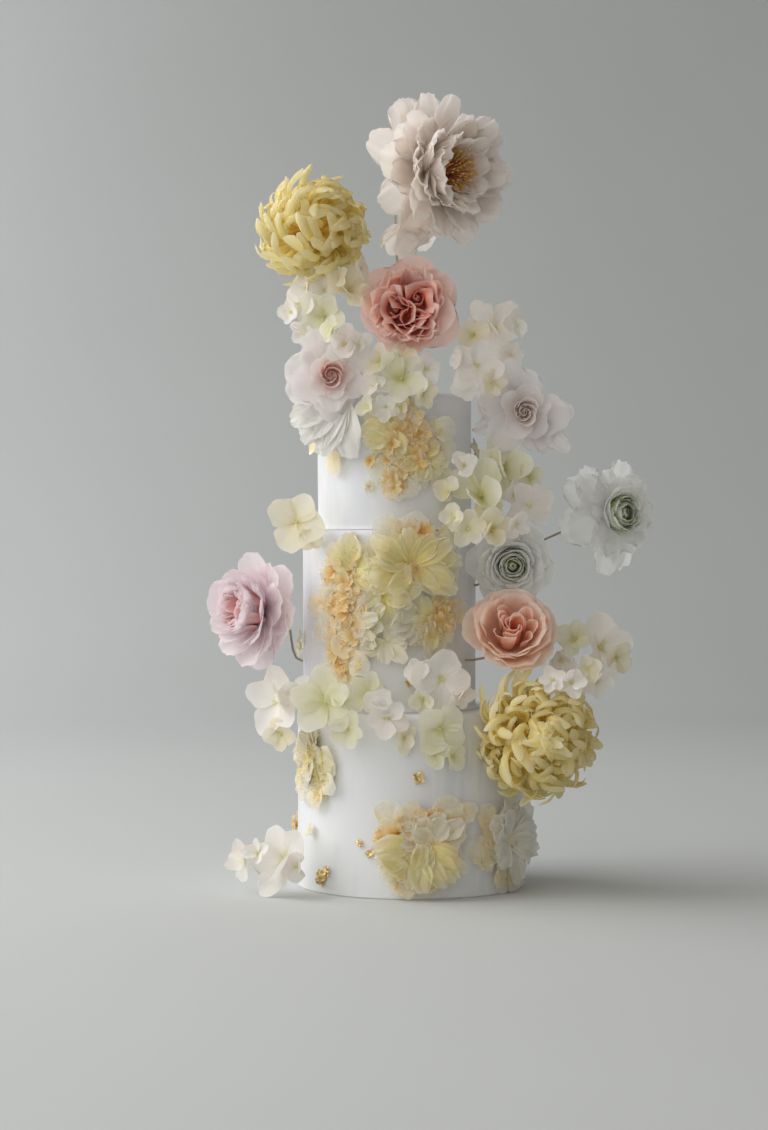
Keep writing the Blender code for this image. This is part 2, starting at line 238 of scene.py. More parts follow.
def rod(path, radii, sides=5):
    """The points and faces of a closed rod along a path, with a radius at each of its points."""
    path = np.asarray(path, float)
    along = np.gradient(path, axis=0)
    along /= np.linalg.norm(along, axis=1, keepdims=True) + 1e-12
    aside = np.cross(along, OFF_AXIS)
    aside /= np.linalg.norm(aside, axis=1, keepdims=True) + 1e-12
    other = np.cross(along, aside)
    turn = np.linspace(0, math.tau, sides, endpoint=False)[None, :, None]
    loops = np.cos(turn) * aside[:, None] + np.sin(turn) * other[:, None]
    loops = path[:, None] + loops * np.reshape(radii, (-1, 1, 1))
    points = np.concatenate([loops.reshape(-1, 3), path[:1], path[-1:]])
    first, last = len(points) - 2, len(points) - 1
    faces = []
    for ring in range(len(path) - 1):
        for side in range(sides):
            near, far = ring * sides, (ring + 1) * sides
            after = (side + 1) % sides
            faces.append((near + side, near + after, far + after, far + side))
    end = (len(path) - 1) * sides
    for side in range(sides):
        after = (side + 1) % sides
        faces.append((first, after, side, side))
        faces.append((last, end + side, end + after, end + after))
    return points, np.array(faces)


def grain(centre, along, length, width):
    """A small closed grain: a short rod that swells in its middle."""
    along = np.asarray(along, float) / np.linalg.norm(along)
    places = np.array((-0.5, -0.3, 0.0, 0.3, 0.5))
    path = np.asarray(centre) + along * places[:, None] * length
    return rod(path, width / 2 * np.array((0.35, 0.85, 1.0, 0.85, 0.35)), sides=6)


print("skins, rods and grains are ready")

# %% [markdown]
# ## From points to a piece
# A piece gathers all its skins and rods and becomes one mesh. Each point also carries a mark with
# four numbers, which the finish reads: how far it is along its petal, how far across, a number
# drawn for that petal, and how far out from the heart of its flower the petal grows.

# %% Gather skins into one piece
RIM_ANGLE = 100  # degrees; only folds sharper than a petal's rim are shaded as edges


class Piece:
    """Collects closed bits of mesh and their marks, and makes them one object."""

    def __init__(self):
        self.points = []
        self.faces = []
        self.marks = []
        self.count = 0

    def add(self, points, faces, marks):
        self.points.append(points)
        self.faces.append(np.asarray(faces) + self.count)
        self.marks.append(np.broadcast_to(marks, (len(points), 4)))
        self.count += len(points)

    def make(self, name, finish, slot, stands_for=(), place=None):
        """Makes the object. A place is worked into the points, so the box of the piece is true."""
        points = np.concatenate(self.points)
        if place is not None:
            points = points @ np.array(place.to_3x3()).T + np.array(place.translation)
        faces = np.concatenate(self.faces)
        corners = [tuple(dict.fromkeys(face)) for face in faces.tolist()]
        mesh = bpy.data.meshes.new(name)
        mesh.from_pydata(points.tolist(), [], corners)
        marks = mesh.attributes.new("mark", "FLOAT_COLOR", "POINT")
        marks.data.foreach_set("color", np.concatenate(self.marks).astype(np.float32).ravel())
        mesh.materials.append(finish)
        mesh.shade_smooth()
        mesh.set_sharp_from_angle(angle=math.radians(RIM_ANGLE))
        piece = bpy.data.objects.new(name, mesh)
        bpy.context.scene.collection.objects.link(piece)
        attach(piece, "root")
        if stands_for:
            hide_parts(*stands_for)
        return piece


print("a piece can gather skins and rods")

# %% [markdown]
# ## One petal
# A petal starts narrow at its seat, widens, and ends in a round tip. Its middle line leans out
# from the flower's axis and bends as it rises. Across that line the petal is cupped like a spoon,
# and its rim may be ruffled or notched. Every flower on the cake is this one shape with other
# numbers: a rose's bud has short petals with deep cups, a blossom has flat ones, and the ribbons of
# a chrysanthemum are petals five times as long as they are wide.

# %% Shape a petal
def petal(
    dice, length=1.0, width=0.8, lean=20, opening=60, curl=0, cup=35, tip=0.5, notch=0.0,
    ruffle=0.0, waves=2.0, frill=0.0, sway=0.0, seat=0.3, widest=0.62, shoulder=0.8, rows=10,
    columns=9,
):
    """A grid of points (across, out, up) and its marks. Angles are degrees from the axis.

    s runs from seat to rim and u from side to side. t is s, less what the round tip, the notch
    and the frill take off the rim. theta is how far the middle line has bent at t.
    """
    s = np.linspace(0, 1, rows)[:, None]
    u = np.linspace(-1, 1, columns)[None, :]
    # Where the rim lies: rounded, notched in the middle, and jagged.
    t = s * (1 - tip * s**2 * (1 - np.sqrt(1 - (0.97 * u) ** 2)))
    t = t - notch * s**3 * np.exp(-((u / 0.22) ** 2))
    t = t + frill * s**4 * dice.normal(0, 1, columns)[None, :]
    # Half the width: it swells up to the widest place and narrows a little after it.
    swell = np.sin(math.pi / 2 * np.clip(s / widest, 0, 1))
    narrowing = 1 - (1 - shoulder) * np.clip((s - widest) / (1 - widest), 0, 1) ** 2
    half = length * width / 2 * (seat + (1 - seat) * swell) * narrowing
    # The middle line: its angle turns from lean to opening, and short steps along it add up.
    fine = np.linspace(0, 1.2, 61)
    ease = fine * fine * (3 - 2 * np.clip(fine, 0, 1))
    angle = np.radians(lean + (opening - lean) * ease + curl * fine**3)
    stride = length * (fine[1] - fine[0])
    out = np.concatenate([[0], np.cumsum(np.sin((angle[1:] + angle[:-1]) / 2))]) * stride
    up = np.concatenate([[0], np.cumsum(np.cos((angle[1:] + angle[:-1]) / 2))]) * stride
    theta = np.interp(t, fine, angle)
    # The cup is an arc across the petal, and the ruffle a wave that grows to the rim and sides.
    bend = math.radians(max(cup, 1))
    across = half * np.sin(bend * u) / bend
    bow = half * (1 - np.cos(bend * u)) / bend
    phase = dice.uniform(0, math.tau, 3)
    wave = np.sin(math.pi * waves * u + phase[0])
    wave = wave + 0.6 * np.sin(math.pi * 1.7 * waves * u + phase[1])
    wave = wave * (0.3 + 0.7 * np.abs(u)) + 0.5 * np.sin(5 * s + phase[2])
    bow = bow + ruffle * length * s**1.4 * wave
    grid = np.stack([
        across + sway * length * s**2,
        np.interp(t, fine, out) - bow * np.cos(theta),
        np.interp(t, fine, up) + bow * np.sin(theta),
    ], -1)
    marks = np.stack([s + 0 * u, u / 2 + 0.5 + 0 * s, 0 * s + 0 * u, 0 * s + 0 * u], -1)
    return grid, marks


def plant(grid, around, reach=0.0, rise=0.0, yaw=0.0):
    """Stands a petal on the flower's axis: turned on its foot, set out and up, turned round."""
    turn = math.radians(yaw)
    across = grid[..., 0] * math.cos(turn) - grid[..., 1] * math.sin(turn)
    out = grid[..., 0] * math.sin(turn) + grid[..., 1] * math.cos(turn) + reach
    turn = math.radians(around)
    return np.stack([
        across * math.sin(turn) + out * math.cos(turn),
        -across * math.cos(turn) + out * math.sin(turn),
        grid[..., 2] + rise,
    ], -1)


grid, marks = petal(np.random.default_rng(0))
print(f"a plain petal is {grid.shape[0]} points long and {grid.shape[1]} points wide")

# %% [markdown]
# ## One flower
# A flower collects petals in its own frame, where it faces up the z axis and measures about 1
# from its middle to its rim. Only then is it fitted: turned to face the way it does on the cake,
# scaled and moved until its box agrees with the box of the plain solid that it stands for. A
# flower that would touch the floor is lifted, and one too far to the front is moved back.

# %% Gather petals into a flower and fit it
THICK = 0.5  # mm, a petal of sugar paste


class Flower:
    """A flower head in its own frame, facing +z."""

    stands_for = ()

    def __init__(self, name, faces, tilt):
        self.name = name
        self.faces = faces
        self.tilt = tilt
        self.dice = np.random.default_rng(zlib.crc32(name.encode()))
        self.skins = {}
        self.rods = {}

    def grow(
        self, part, around, reach=0.0, rise=0.0, yaw=0.0, shift=(0, 0), tier=0.0, thick=THICK,
        **shape
    ):
        """Adds one petal to a part of the flower. tier is 0 at the heart and 1 at the rim."""
        grid, marks = petal(self.dice, **shape)
        marks[..., 2] = self.dice.uniform()
        marks[..., 3] = tier
        planted = plant(grid, around, reach, rise, yaw) + (*shift, 0)
        self.skins.setdefault(part, []).append((planted, marks, thick))

    def stud(self, part, around, polar, depth, spin, tier=0.0, **shape):
        """Sets a petal into a ball: its foot under a place on the ball, spun about the way out."""
        grid, marks = petal(self.dice, **shape)
        marks[..., 2] = self.dice.uniform()
        marks[..., 3] = tier
        turn = Matrix.Rotation(math.radians(around), 3, "Z")
        turn = turn @ Matrix.Rotation(math.radians(polar), 3, "Y")
        turn = turn @ Matrix.Rotation(math.radians(spin), 3, "Z")
        planted = (grid + (0, 0, depth)) @ np.array(turn).T
        self.skins.setdefault(part, []).append((planted, marks, THICK))

    def whorl(self, part, count, start, jitter=0.0, **shape):
        """A ring of like petals. Lean, opening and length stray a little from one to the next."""
        for number in range(count):
            one = dict(shape)
            around = start + 360 * (number + jitter * self.dice.uniform(-0.5, 0.5)) / count
            one["lean"] = shape["lean"] + 40 * jitter * self.dice.uniform(-0.5, 0.5)
            one["opening"] = shape["opening"] + 50 * jitter * self.dice.uniform(-0.5, 0.5)
            one["length"] = shape["length"] * (1 + 0.3 * jitter * self.dice.uniform(-0.5, 0.5))
            one["width"] = shape["width"] * (1 + 0.3 * jitter * self.dice.uniform(-0.5, 0.5))
            self.grow(part, around, **one)

    def stick(self, part, path, radius_mm, sides=5, taper=1.0):
        """Adds a rod along a path. taper is its radius at the end as a share of the first."""
        path = np.asarray(path, float)
        radii = radius_mm * MM * np.linspace(1, taper, len(path))
        self.rods.setdefault(part, []).append((path, radii, sides))

    def stamens(self, count, length, spread, base=(0, 0, 0), thread=0.25, anther=1.3):
        """Thin threads that fan out from the heart, each with a grain of pollen at its end."""
        for number in range(count):
            around = number * GOLDEN_RADIANS + self.dice.uniform(-0.3, 0.3)
            lean = math.radians(spread) * math.sqrt((number + 0.5) / count)
            size = length * self.dice.uniform(0.8, 1.1)
            steps = np.linspace(0, 1, 5)[:, None]
            tip = np.array(
                (
                    math.sin(lean) * math.cos(around), math.sin(lean) * math.sin(around),
                    math.cos(lean),
                ),
            )
            path = np.asarray(base) + size * (steps * tip + 0.15 * steps**2 * (tip - (0, 0, 1)))
            self.stick("threads", path, thread, sides=4)
            self.rods.setdefault("anthers", []).append(
                (path[-1], tip + self.dice.normal(0, 0.4, 3), anther)
            )

    def turned(self):
        """The turn from facing +z to facing an azimuth round the cake, with a tilt upward."""
        turn = Matrix.Rotation(math.radians(self.faces), 3, "Z")
        return turn @ Matrix.Rotation(math.radians(90 - self.tilt), 3, "X")

    def cloud(self):
        """The points of all the petals, turned the way the flower faces, round its own middle."""
        points = [grid.reshape(-1, 3) for part in self.skins.values() for grid, _, _ in part]
        return np.concatenate(points) @ np.array(self.turned()).T

    def fit(self):
        """Works out the scale and the place that make the petals fill the plain solid's box."""
        cloud = self.cloud()
        low, high = (np.array(corner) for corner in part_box(self.name))
        size = np.ptp(cloud, axis=0)
        across_and_up = [0, 2]
        self.scale = float(np.mean(((high - low) / size)[across_and_up]))
        middle = (low + high) / 2 - self.scale * (cloud.max(0) + cloud.min(0)) / 2
        self.put(Vector(middle))
        self.stands_for = (self.name,)

    def put(self, middle):
        """Places the flower's middle, but clear of the floor and not too far to the front."""
        lowest = (self.cloud() * self.scale).min(0)
        lift = max(0.0, FLOOR_GAP - lowest[2] - middle.z)
        back = max(0.0, cad_low.y - FRONT_REACH - lowest[1] - middle.y)
        shifted = Matrix.Translation(middle + Vector((0, back, lift)))
        self.place = shifted @ self.turned().to_4x4()

    def stand_beside(self, node, right, up, back, radius):
        """Gives the flower a radius and a place beside a plain solid, all in millimetres."""
        low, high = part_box(node)
        middle = (low + high) / 2 + Vector((right, back, up)) * MM
        self.scale = radius * MM
        self.put(middle)

    def make(self, finishes):
        """Makes one piece for each part. finishes gives each part's material, and a slot that is
        not used.

        Only the petals stand for the plain solid, so that it is replaced once.
        """
        for part, (finish, slot) in finishes.items():
            piece = Piece()
            for grid, marks, thick in self.skins.get(part, []):
                points, faces = skin(grid * self.scale, thick * MM)
                piece.add(points, faces, skin_marks(marks))
            for stroke in self.rods.get(part, []):
                if part == "anthers":
                    centre, along, size = stroke
                    points, faces = grain(centre * self.scale, along, size * MM, size * 0.55 * MM)
                else:
                    path, radii, sides = stroke
                    points, faces = rod(path * self.scale, radii, sides)
                piece.add(points, faces, (0.5, 0.5, self.dice.uniform(), 0.0))
            if piece.count:
                stands_for = self.stands_for if part == "petals" else ()
                piece.make(f"{self.name}.{part}", finish, slot, stands_for, self.place)


print("a flower can gather petals and be fitted to its plain solid")

# %% [markdown]
# ## The finish of sugar petals
# Wafer and sugar paste let light through, so a petal with the lamp behind it glows. A Translucent
# shader mixed into the Principled one does that. The colour runs along each petal from heart to
# rim, inner petals are stronger in colour than outer ones, and fine veins fan out from the seat.
# All of that is read from the marks, so it follows each petal. The rim is painted nearly white,
# as a highlight where light catches the edge of the petal. Pressed wafer is sheer: its Alpha falls
# to the rim.

# %% Petal finish
def petal_finish(
    name, stops, depth=0.5, glow=(0.3, 0.6), light=(0.96, 0.95, 0.92), vein=0.08, stain=None,
    rim=0.6, thin=None,
):
    """A finish whose colour runs through the stops from heart to rim.

    depth says how much of that run goes from flower's heart to flower's rim, the rest going along
    each petal. glow is the share of light let through at the heart and at the rim, and light its
    colour. vein is a strength, and rim the strength of a painted highlight along the petal's rim.
    stain is the colour of the blotches, thin the Alpha at the seat and at the rim.
    """
    finish = Finish(name)
    mark = finish.node("Attribute", {"attribute_name": "mark"}, {}, out="Color")
    tier = mark.twin("Alpha")
    along = finish.node("SeparateColor", {}, {"Color": mark}, out="Red")
    across = along.twin("Green")
    chance = along.twin("Blue")
    object_place = finish.node("TexCoord", {}, {}, out="Object")
    cloud = finish.noise(object_place, 70.0, 3.0)
    place = along * (1 - depth) + tier * depth + (cloud - 0.5) * 0.3 + (chance - 0.5) * 0.16
    colour = finish.ramp(place, stops)
    if stain:
        blotch = finish.noise(object_place, 46.0, 2.0) + (chance - 0.5) * 0.34
        stained = finish.mix(1.0, colour, stain, "MULTIPLY")
        colour = finish.mix(finish.step(blotch, 0.40, 0.66), colour, stained)
    fan = finish.vector(across * 9.0, along * 0.9, chance * 37.0)
    veins = finish.noise(fan, 1.9, 4.0, 0.6)
    shade = 1.02 - vein * finish.step(veins, 0.42, 0.72)
    shade = shade * (0.95 + 0.07 * chance)
    colour = finish.mix(1.0, colour, finish.vector(shade, shade, shade), "MULTIPLY")
    # Painted highlight: the colour turns nearly white along the rim, where light catches the
    # petal's edge.
    rim_highlight = finish.sum("MAXIMUM", finish.sum("ABSOLUTE", across * 2.0 - 1.0), along)
    colour = finish.mix(finish.step(rim_highlight, 0.84, 1.0) * rim, colour, (0.985, 0.98, 0.965))
    grain_of_paste = finish.noise(object_place, 900.0, 2.0)
    height = veins * 0.8 + grain_of_paste * 0.25
    normal = finish.bump(height, 0.45, 0.5 * MM)
    sockets = {
        "Base Color": colour,
        "Roughness": 0.62 - 0.08 * veins,
        "Specular IOR Level": 0.35,
        "Sheen Weight": 0.08,
        "Normal": normal,
    }
    if thin:
        sheer = finish.step(along + (cloud - 0.5) * 0.5, 0.25, 0.95)
        sockets["Alpha"] = thin[0] + (thin[1] - thin[0]) * sheer
    solid = finish.node("BsdfPrincipled", {}, sockets)
    through = finish.node("BsdfTranslucent", {}, {"Color": light})
    share = glow[0] + (glow[1] - glow[0]) * finish.step(place, 0.1, 0.6)
    return finish.done(finish.node("MixShader", {}, {0: share, 1: solid, 2: through}))


print("a petal's finish can be mixed from its colours")

# %% [markdown]
# Each kind of flower has its own run of colours: a place on the way from heart to rim, and the
# colour there. Most of it happens near the heart, since a sugar petal is dusted with colour at its
# foot and left nearly white at its rim. How much light a finish lets through differs too.

# %% Colours of the petals, from heart to rim
BLUSH = [
    (0.0, (0.96, 0.62, 0.36)), (0.22, (0.98, 0.82, 0.66)), (0.45, (0.985, 0.925, 0.875)),
    (0.8, (0.985, 0.955, 0.93)), (1.0, (0.985, 0.965, 0.95)),
]
PRIMROSE = [
    (0.0, (0.98, 0.68, 0.13)), (0.24, (0.99, 0.85, 0.36)), (0.5, (0.99, 0.93, 0.60)),
    (0.85, (0.99, 0.97, 0.84)), (1.0, (0.99, 0.98, 0.90)),
]
CORAL = [
    (0.0, (0.86, 0.16, 0.10)), (0.22, (0.94, 0.36, 0.25)), (0.42, (0.97, 0.61, 0.49)),
    (0.57, (0.975, 0.85, 0.80)), (1.0, (0.98, 0.95, 0.935)),
]
SHELL = [
    (0.0, (0.98, 0.42, 0.29)), (0.24, (0.98, 0.60, 0.48)), (0.45, (0.98, 0.84, 0.79)),
    (0.75, (0.975, 0.95, 0.94)), (1.0, (0.98, 0.97, 0.97)),
]
MAUVE = [
    (0.0, (0.90, 0.66, 0.46)), (0.22, (0.96, 0.85, 0.78)), (0.5, (0.97, 0.93, 0.92)),
    (1.0, (0.975, 0.965, 0.965)),
]
COOL = [
    (0.0, (0.22, 0.28, 0.05)), (0.20, (0.42, 0.50, 0.17)), (0.31, (0.84, 0.87, 0.72)),
    (0.45, (0.97, 0.975, 0.97)), (1.0, (0.975, 0.98, 0.985)),
]
PEACH = [
    (0.0, (0.97, 0.30, 0.10)), (0.34, (0.98, 0.46, 0.25)), (0.58, (0.985, 0.70, 0.52)),
    (0.8, (0.98, 0.88, 0.81)), (1.0, (0.98, 0.94, 0.91)),
]
LILAC = [
    (0.0, (0.96, 0.32, 0.27)), (0.28, (0.97, 0.60, 0.57)), (0.5, (0.97, 0.88, 0.89)),
    (1.0, (0.975, 0.94, 0.955)),
]
CREAM = [
    (0.0, (0.76, 0.70, 0.26)), (0.16, (0.94, 0.90, 0.66)), (0.5, (0.965, 0.94, 0.83)),
    (1.0, (0.97, 0.96, 0.90)),
]
MILK = [
    (0.0, (0.80, 0.78, 0.42)), (0.12, (0.95, 0.94, 0.85)), (0.36, (0.98, 0.962, 0.95)),
    (1.0, (0.985, 0.967, 0.967)),
]
LEAF = [
    (0.0, (0.74, 0.70, 0.30)), (0.25, (0.92, 0.90, 0.66)), (0.6, (0.955, 0.945, 0.82)),
    (1.0, (0.965, 0.96, 0.90)),
]
SEPAL = [(0.0, (0.50, 0.54, 0.24)), (0.5, (0.66, 0.70, 0.40)), (1.0, (0.80, 0.82, 0.60))]
green_sepal = petal_finish("green_sepal", SEPAL, 0.0, (0.1, 0.3), (0.86, 0.9, 0.6), rim=0.2)
finishes = {
    "petal_blush": petal_finish(
        "blush_sugar_petal", BLUSH, 0.5, (0.5, 0.70), light=(1.0, 0.967, 0.94)
    ),
    "petal_primrose": petal_finish(
        "primrose_sugar_ribbon", PRIMROSE, 0.25, (0.52, 0.70), (1.0, 0.95, 0.68)
    ),
    "petal_coral": petal_finish(
        "coral_sugar_petal", CORAL, 0.36, (0.22, 0.62), (1.0, 0.83, 0.77), rim=0.35
    ),
    "petal_shell_pink": petal_finish(
        "shell_pink_sugar_petal", SHELL, 0.84, (0.40, 0.62), light=(0.99, 0.96, 0.95)
    ),
    "petal_mauve_white": petal_finish(
        "mauve_white_sugar_petal", MAUVE, 0.84, (0.45, 0.60), light=(0.985, 0.965, 0.96)
    ),
    "petal_cool_white": petal_finish(
        "cool_white_wafer_petal", COOL, 0.85, (0.26, 0.80), light=(1.0, 1.0, 0.99), rim=0.9
    ),
    "petal_apricot": petal_finish(
        "apricot_sugar_petal", PEACH, 0.6, (0.25, 0.72), light=(1.0, 0.88, 0.80), rim=0.9
    ),
    "petal_lilac_pink": petal_finish(
        "lilac_pink_sugar_petal", LILAC, 0.6, (0.3, 0.64), light=(0.99, 0.94, 0.955)
    ),
    "petal_cream": petal_finish(
        "cream_wafer_petal", CREAM, 0.0, light=(0.98, 0.95, 0.86), stain=(1.0, 0.97, 0.88)
    ),
    "petal_white": petal_finish(
        "white_wafer_petal", MILK, 0.0, light=(0.98, 0.97, 0.93), stain=(1.0, 0.95, 0.94)
    ),
    "petal_leaf_cream": petal_finish(
        "leaf_cream_wafer_petal", LEAF, 0.0, light=(0.98, 0.97, 0.90), stain=(0.98, 0.98, 0.88)
    ),
}
print(f"{len(finishes)} petal finishes")

# %% [markdown]
# Stamens are threads of paste dipped in coloured starch. The grains at their ends are dusty and
# rough, so their colour varies from grain to grain, and a fine bump breaks up any shine.

# %% Finish of threads and pollen
def dusty_finish(name, pale, deep, rough=0.85):
    """A dull finish between two colours, with a draw for each thread or grain."""
    finish = Finish(name)
    mark = finish.node("Attribute", {"attribute_name": "mark"}, {}, out="Color")
    chance = finish.node("SeparateColor", {}, {"Color": mark}, out="Blue")
    place = finish.node("TexCoord", {}, {}, out="Object")
    dust = finish.noise(place, 1400.0, 3.0)
    colour = finish.mix(finish.step(chance * 0.6 + dust * 0.5, 0.2, 0.9), pale, deep)
    sockets = {
        "Base Color": colour,
        "Roughness": rough - 0.1 * dust,
        "Normal": finish.bump(dust, 0.6, 0.3 * MM),
    }
    return finish.done(finish.node("BsdfPrincipled", {}, sockets))


finishes["stamen"] = dusty_finish("yellow_stamen", (0.92, 0.66, 0.18), (0.72, 0.36, 0.05))
finishes["calyx"] = dusty_finish("green_pistil", (0.52, 0.56, 0.20), (0.24, 0.26, 0.06))
finishes["wire"] = dusty_finish("taped_wire", (0.36, 0.30, 0.20), (0.20, 0.15, 0.09), rough=0.6)
pale_stamen = dusty_finish("pale_stamen", (0.95, 0.90, 0.62), (0.88, 0.78, 0.38))
pale_pistil = dusty_finish("pale_green_pistil", (0.84, 0.86, 0.52), (0.66, 0.68, 0.30))
tawny = dusty_finish("tawny_pistil", (0.55, 0.16, 0.10), (0.30, 0.06, 0.05))
print("six dusty finishes for stamens, pistils and wires")

# %% [markdown]
# ## Peonies
# A peony has broad outer petals that overlap like bowls, then smaller ones, and a crown of stamens
# in the middle. Each ring is a loop over the one petal shape, and inner rings stand steeper, so
# that they close around the stamens. The peony on the crown has six rings, seven tall petals that
# lean over one side of its heart, and 150 stamens.

# %% Grow the crown peony
def grow_crown_peony(flower):
    rings = (
        # petals, tier, length, width, lean, opening, cup
        (12, 1.00, 1.04, 0.66, 100, 94, 26),
        (13, 0.97, 1.06, 0.62, 84, 74, 34),
        (14, 0.93, 1.04, 0.58, 70, 56, 42),
        (14, 0.86, 1.02, 0.60, 58, 36, 48),
        (13, 0.66, 0.92, 0.56, 48, 30, 54),
        (10, 0.30, 0.66, 0.52, 46, 26, 58),
    )
    for number, (count, tier, length, width, lean, opening, cup) in enumerate(rings):
        flower.whorl(
            "petals", count, 47 * number, jitter=1.0, tier=tier, length=length, width=width,
            lean=lean, opening=opening, curl=-6, cup=cup, ruffle=0.040, waves=2.4, notch=0.02,
            frill=0.009, tip=0.38, seat=0.34, widest=0.76, shoulder=0.84, reach=0.07,
            rise=-0.34 + 0.03 * number, rows=14, columns=15,
        )
    leaning, first, apart = 7, 128, 24
    for number in range(leaning):
        flower.grow(
            "petals", first + apart * number + flower.dice.uniform(-8, 8), reach=0.30, rise=-0.22,
            tier=0.5, length=flower.dice.uniform(0.84, 1.0), width=0.56, lean=26,
            opening=flower.dice.uniform(-12, 8), curl=30, cup=56, ruffle=0.05, waves=2.2,
            notch=0.03, frill=0.012, tip=0.36, seat=0.4, widest=0.76, shoulder=0.84, rows=15,
            columns=14,
        )
    flower.stamens(150, 0.50, 50, base=(0, 0, -0.10), thread=0.3, anther=2.6)
    for number in range(6):
        turn = number * math.tau / 6
        foot = np.array((0.05 * math.cos(turn), 0.05 * math.sin(turn), -0.16))
        tip = np.array((0.14 * math.cos(turn), 0.14 * math.sin(turn), 0.30))
        flower.stick("pistils", [foot, (foot + tip) / 2, tip], 2.6, sides=7, taper=0.5)


print("a peony for the crown can be grown")

# %% [markdown]
# The peony at the left is fuller: four rings of broad petals, and twenty-six ruffled ones that
# hide its heart. Those are planted at a random reach, each a golden turn after the last, so they
# fill the heart without a pattern.

# %% Grow the left peony
def grow_left_peony(flower):
    rings = (
        # petals, tier, length, width, lean, opening, cup
        (8, 1.00, 1.02, 0.90, 96, 82, 24),
        (9, 0.95, 1.00, 0.88, 78, 58, 30),
        (9, 0.88, 0.94, 0.84, 60, 38, 36),
        (9, 0.72, 0.86, 0.76, 44, 20, 42),
    )
    for number, (count, tier, length, width, lean, opening, cup) in enumerate(rings):
        flower.whorl(
            "petals", count, 43 * number, jitter=0.7, tier=tier, length=length, width=width,
            lean=lean, opening=opening, curl=-8, cup=cup, ruffle=0.034, waves=2.2, notch=0.03,
            frill=0.008, tip=0.36, seat=0.34, widest=0.72, shoulder=0.9, reach=0.07,
            rise=-0.32 + 0.03 * number, rows=14, columns=14,
        )
    for number in range(26):
        reach = 0.05 + 0.34 * flower.dice.uniform() ** 0.7
        flower.grow(
            "petals", GOLDEN_TURN * number, reach=reach, rise=-0.14,
            yaw=flower.dice.uniform(-50, 50), tier=0.02 + 0.5 * reach, length=0.60, width=0.70,
            lean=4, opening=14, cup=62, ruffle=0.05, waves=1.6, notch=0.03, frill=0.008, tip=0.34,
            rows=10, columns=11,
        )


print("a peony for the left side can be grown")

# %% [markdown]
# ## Roses
# A garden rose opens flat and shows a heart of folded petals: three small buds side by side, with
# thirteen wavy folds packed round them. A bud is a spiral of petals, each a little further out
# than the last and cupped so deeply that it wraps round the ones inside.

# %% Grow the garden rose
def spiral_bud(flower, count, reach, height, rise, tier=0.0, shift=(0, 0), ruffle=0.012):
    """Petals that wrap round one middle, each a golden turn after the last and further out."""
    for number in range(count):
        share = number / (count - 1)
        out = reach * (0.12 + 0.88 * share)
        size = height * (0.82 + 0.18 * share)
        width = min(2.5 * out + 0.1, 2.2 * reach + 0.3)
        flower.grow(
            "petals", GOLDEN_TURN * number, reach=out, rise=rise, yaw=14, shift=shift,
            tier=tier + 0.3 * share, length=size, width=width / size, lean=4 + 10 * share,
            opening=-16 + 22 * share, curl=30 * share, cup=min(125, math.degrees(width / 2 / out)),
            tip=0.12, ruffle=ruffle, seat=0.8, shoulder=0.95, rows=9, columns=19,
        )


def grow_garden_rose(flower):
    """Three rings of broad petals, three buds in the heart and the folds round them."""
    flower.whorl(
        "petals", 6, 18, jitter=0.5, tier=1.0, length=1.0, width=1.16, lean=86, opening=72, curl=12,
        cup=24, ruffle=0.03, waves=2.0, tip=0.40, reach=0.08, rise=-0.30, rows=13, columns=15,
    )
    flower.whorl(
        "petals", 6, 48, jitter=0.5, tier=0.96, length=0.94, width=1.12, lean=70, opening=50,
        curl=16, cup=32, ruffle=0.03, waves=2.2, tip=0.38, reach=0.12, rise=-0.28, rows=13,
        columns=15,
    )
    flower.whorl(
        "petals", 7, 10, jitter=0.6, tier=0.50, length=0.86, width=0.98, lean=50, opening=18,
        curl=30, cup=46, ruffle=0.080, waves=2.4, tip=0.20, reach=0.2, rise=-0.26, rows=12,
        columns=15,
    )
    for middle_x, middle_y, reach in (
        (0.18, 0.20, 0.32), (-0.24, -0.04, 0.28), (0.14, -0.28, 0.26)
    ):
        spiral_bud(flower, 6, reach, 0.50, -0.16, -0.5, (middle_x, middle_y), 0.06)
    for fold in range(13):
        around = GOLDEN_TURN * fold
        reach = 0.36 + 0.014 * fold
        flower.grow(
            "petals", around, reach=reach, rise=-0.2 - 0.004 * fold,
            yaw=56 * flower.dice.uniform(-1, 1), tier=-0.4 + 0.03 * fold, thick=0.8, length=0.56,
            width=1.5, lean=2 + fold, opening=-6 + fold, curl=70, cup=70, ruffle=0.11, waves=1.5,
            tip=0.04, seat=0.85, shoulder=1.0, rows=13, columns=25,
        )


print("a bud and a garden rose can be grown")

# %% [markdown]
# A cupped rose has thick, pale walls with ruffled rims, and a few folded lobes in it. The walls
# stand nearly upright, so that the lobes lie in their shade and look deeper in colour.

# %% Grow the cupped rose
def grow_cupped_rose(flower):
    """A deep cup: thick pale walls with ruffled rims around a few folded lobes."""
    walls = (
        (6, 1.00, 0.98, 1.10, 78, 34, 30), (6, 0.96, 0.98, 1.14, 68, 16, 38),
        (6, 0.86, 0.92, 1.10, 60, 4, 44),
    )
    for number, (count, tier, length, width, lean, opening, cup) in enumerate(walls):
        flower.whorl(
            "petals", count, 40 * number, jitter=0.4, tier=tier, thick=1.0, length=length,
            width=width, lean=lean, opening=opening, curl=34, cup=cup, ruffle=0.034, waves=2.4,
            tip=0.28, notch=0.02, frill=0.01, reach=0.12, rise=-0.30, shoulder=0.95, rows=14,
            columns=17,
        )
    for ring, (count, reach, tier) in enumerate(((7, 0.34, 0.42), (5, 0.20, 0.2), (3, 0.08, 0.0))):
        flower.whorl(
            "petals", count, 25 * ring, jitter=0.6, tier=tier, thick=0.7, length=0.60, width=0.74,
            lean=6, opening=-4, curl=26, cup=76, ruffle=0.03, waves=1.6, tip=0.36, seat=0.6,
            shoulder=0.9, reach=reach, rise=-0.16 + 0.02 * ring, yaw=20, rows=11, columns=13,
        )


print("a cupped rose can be grown")

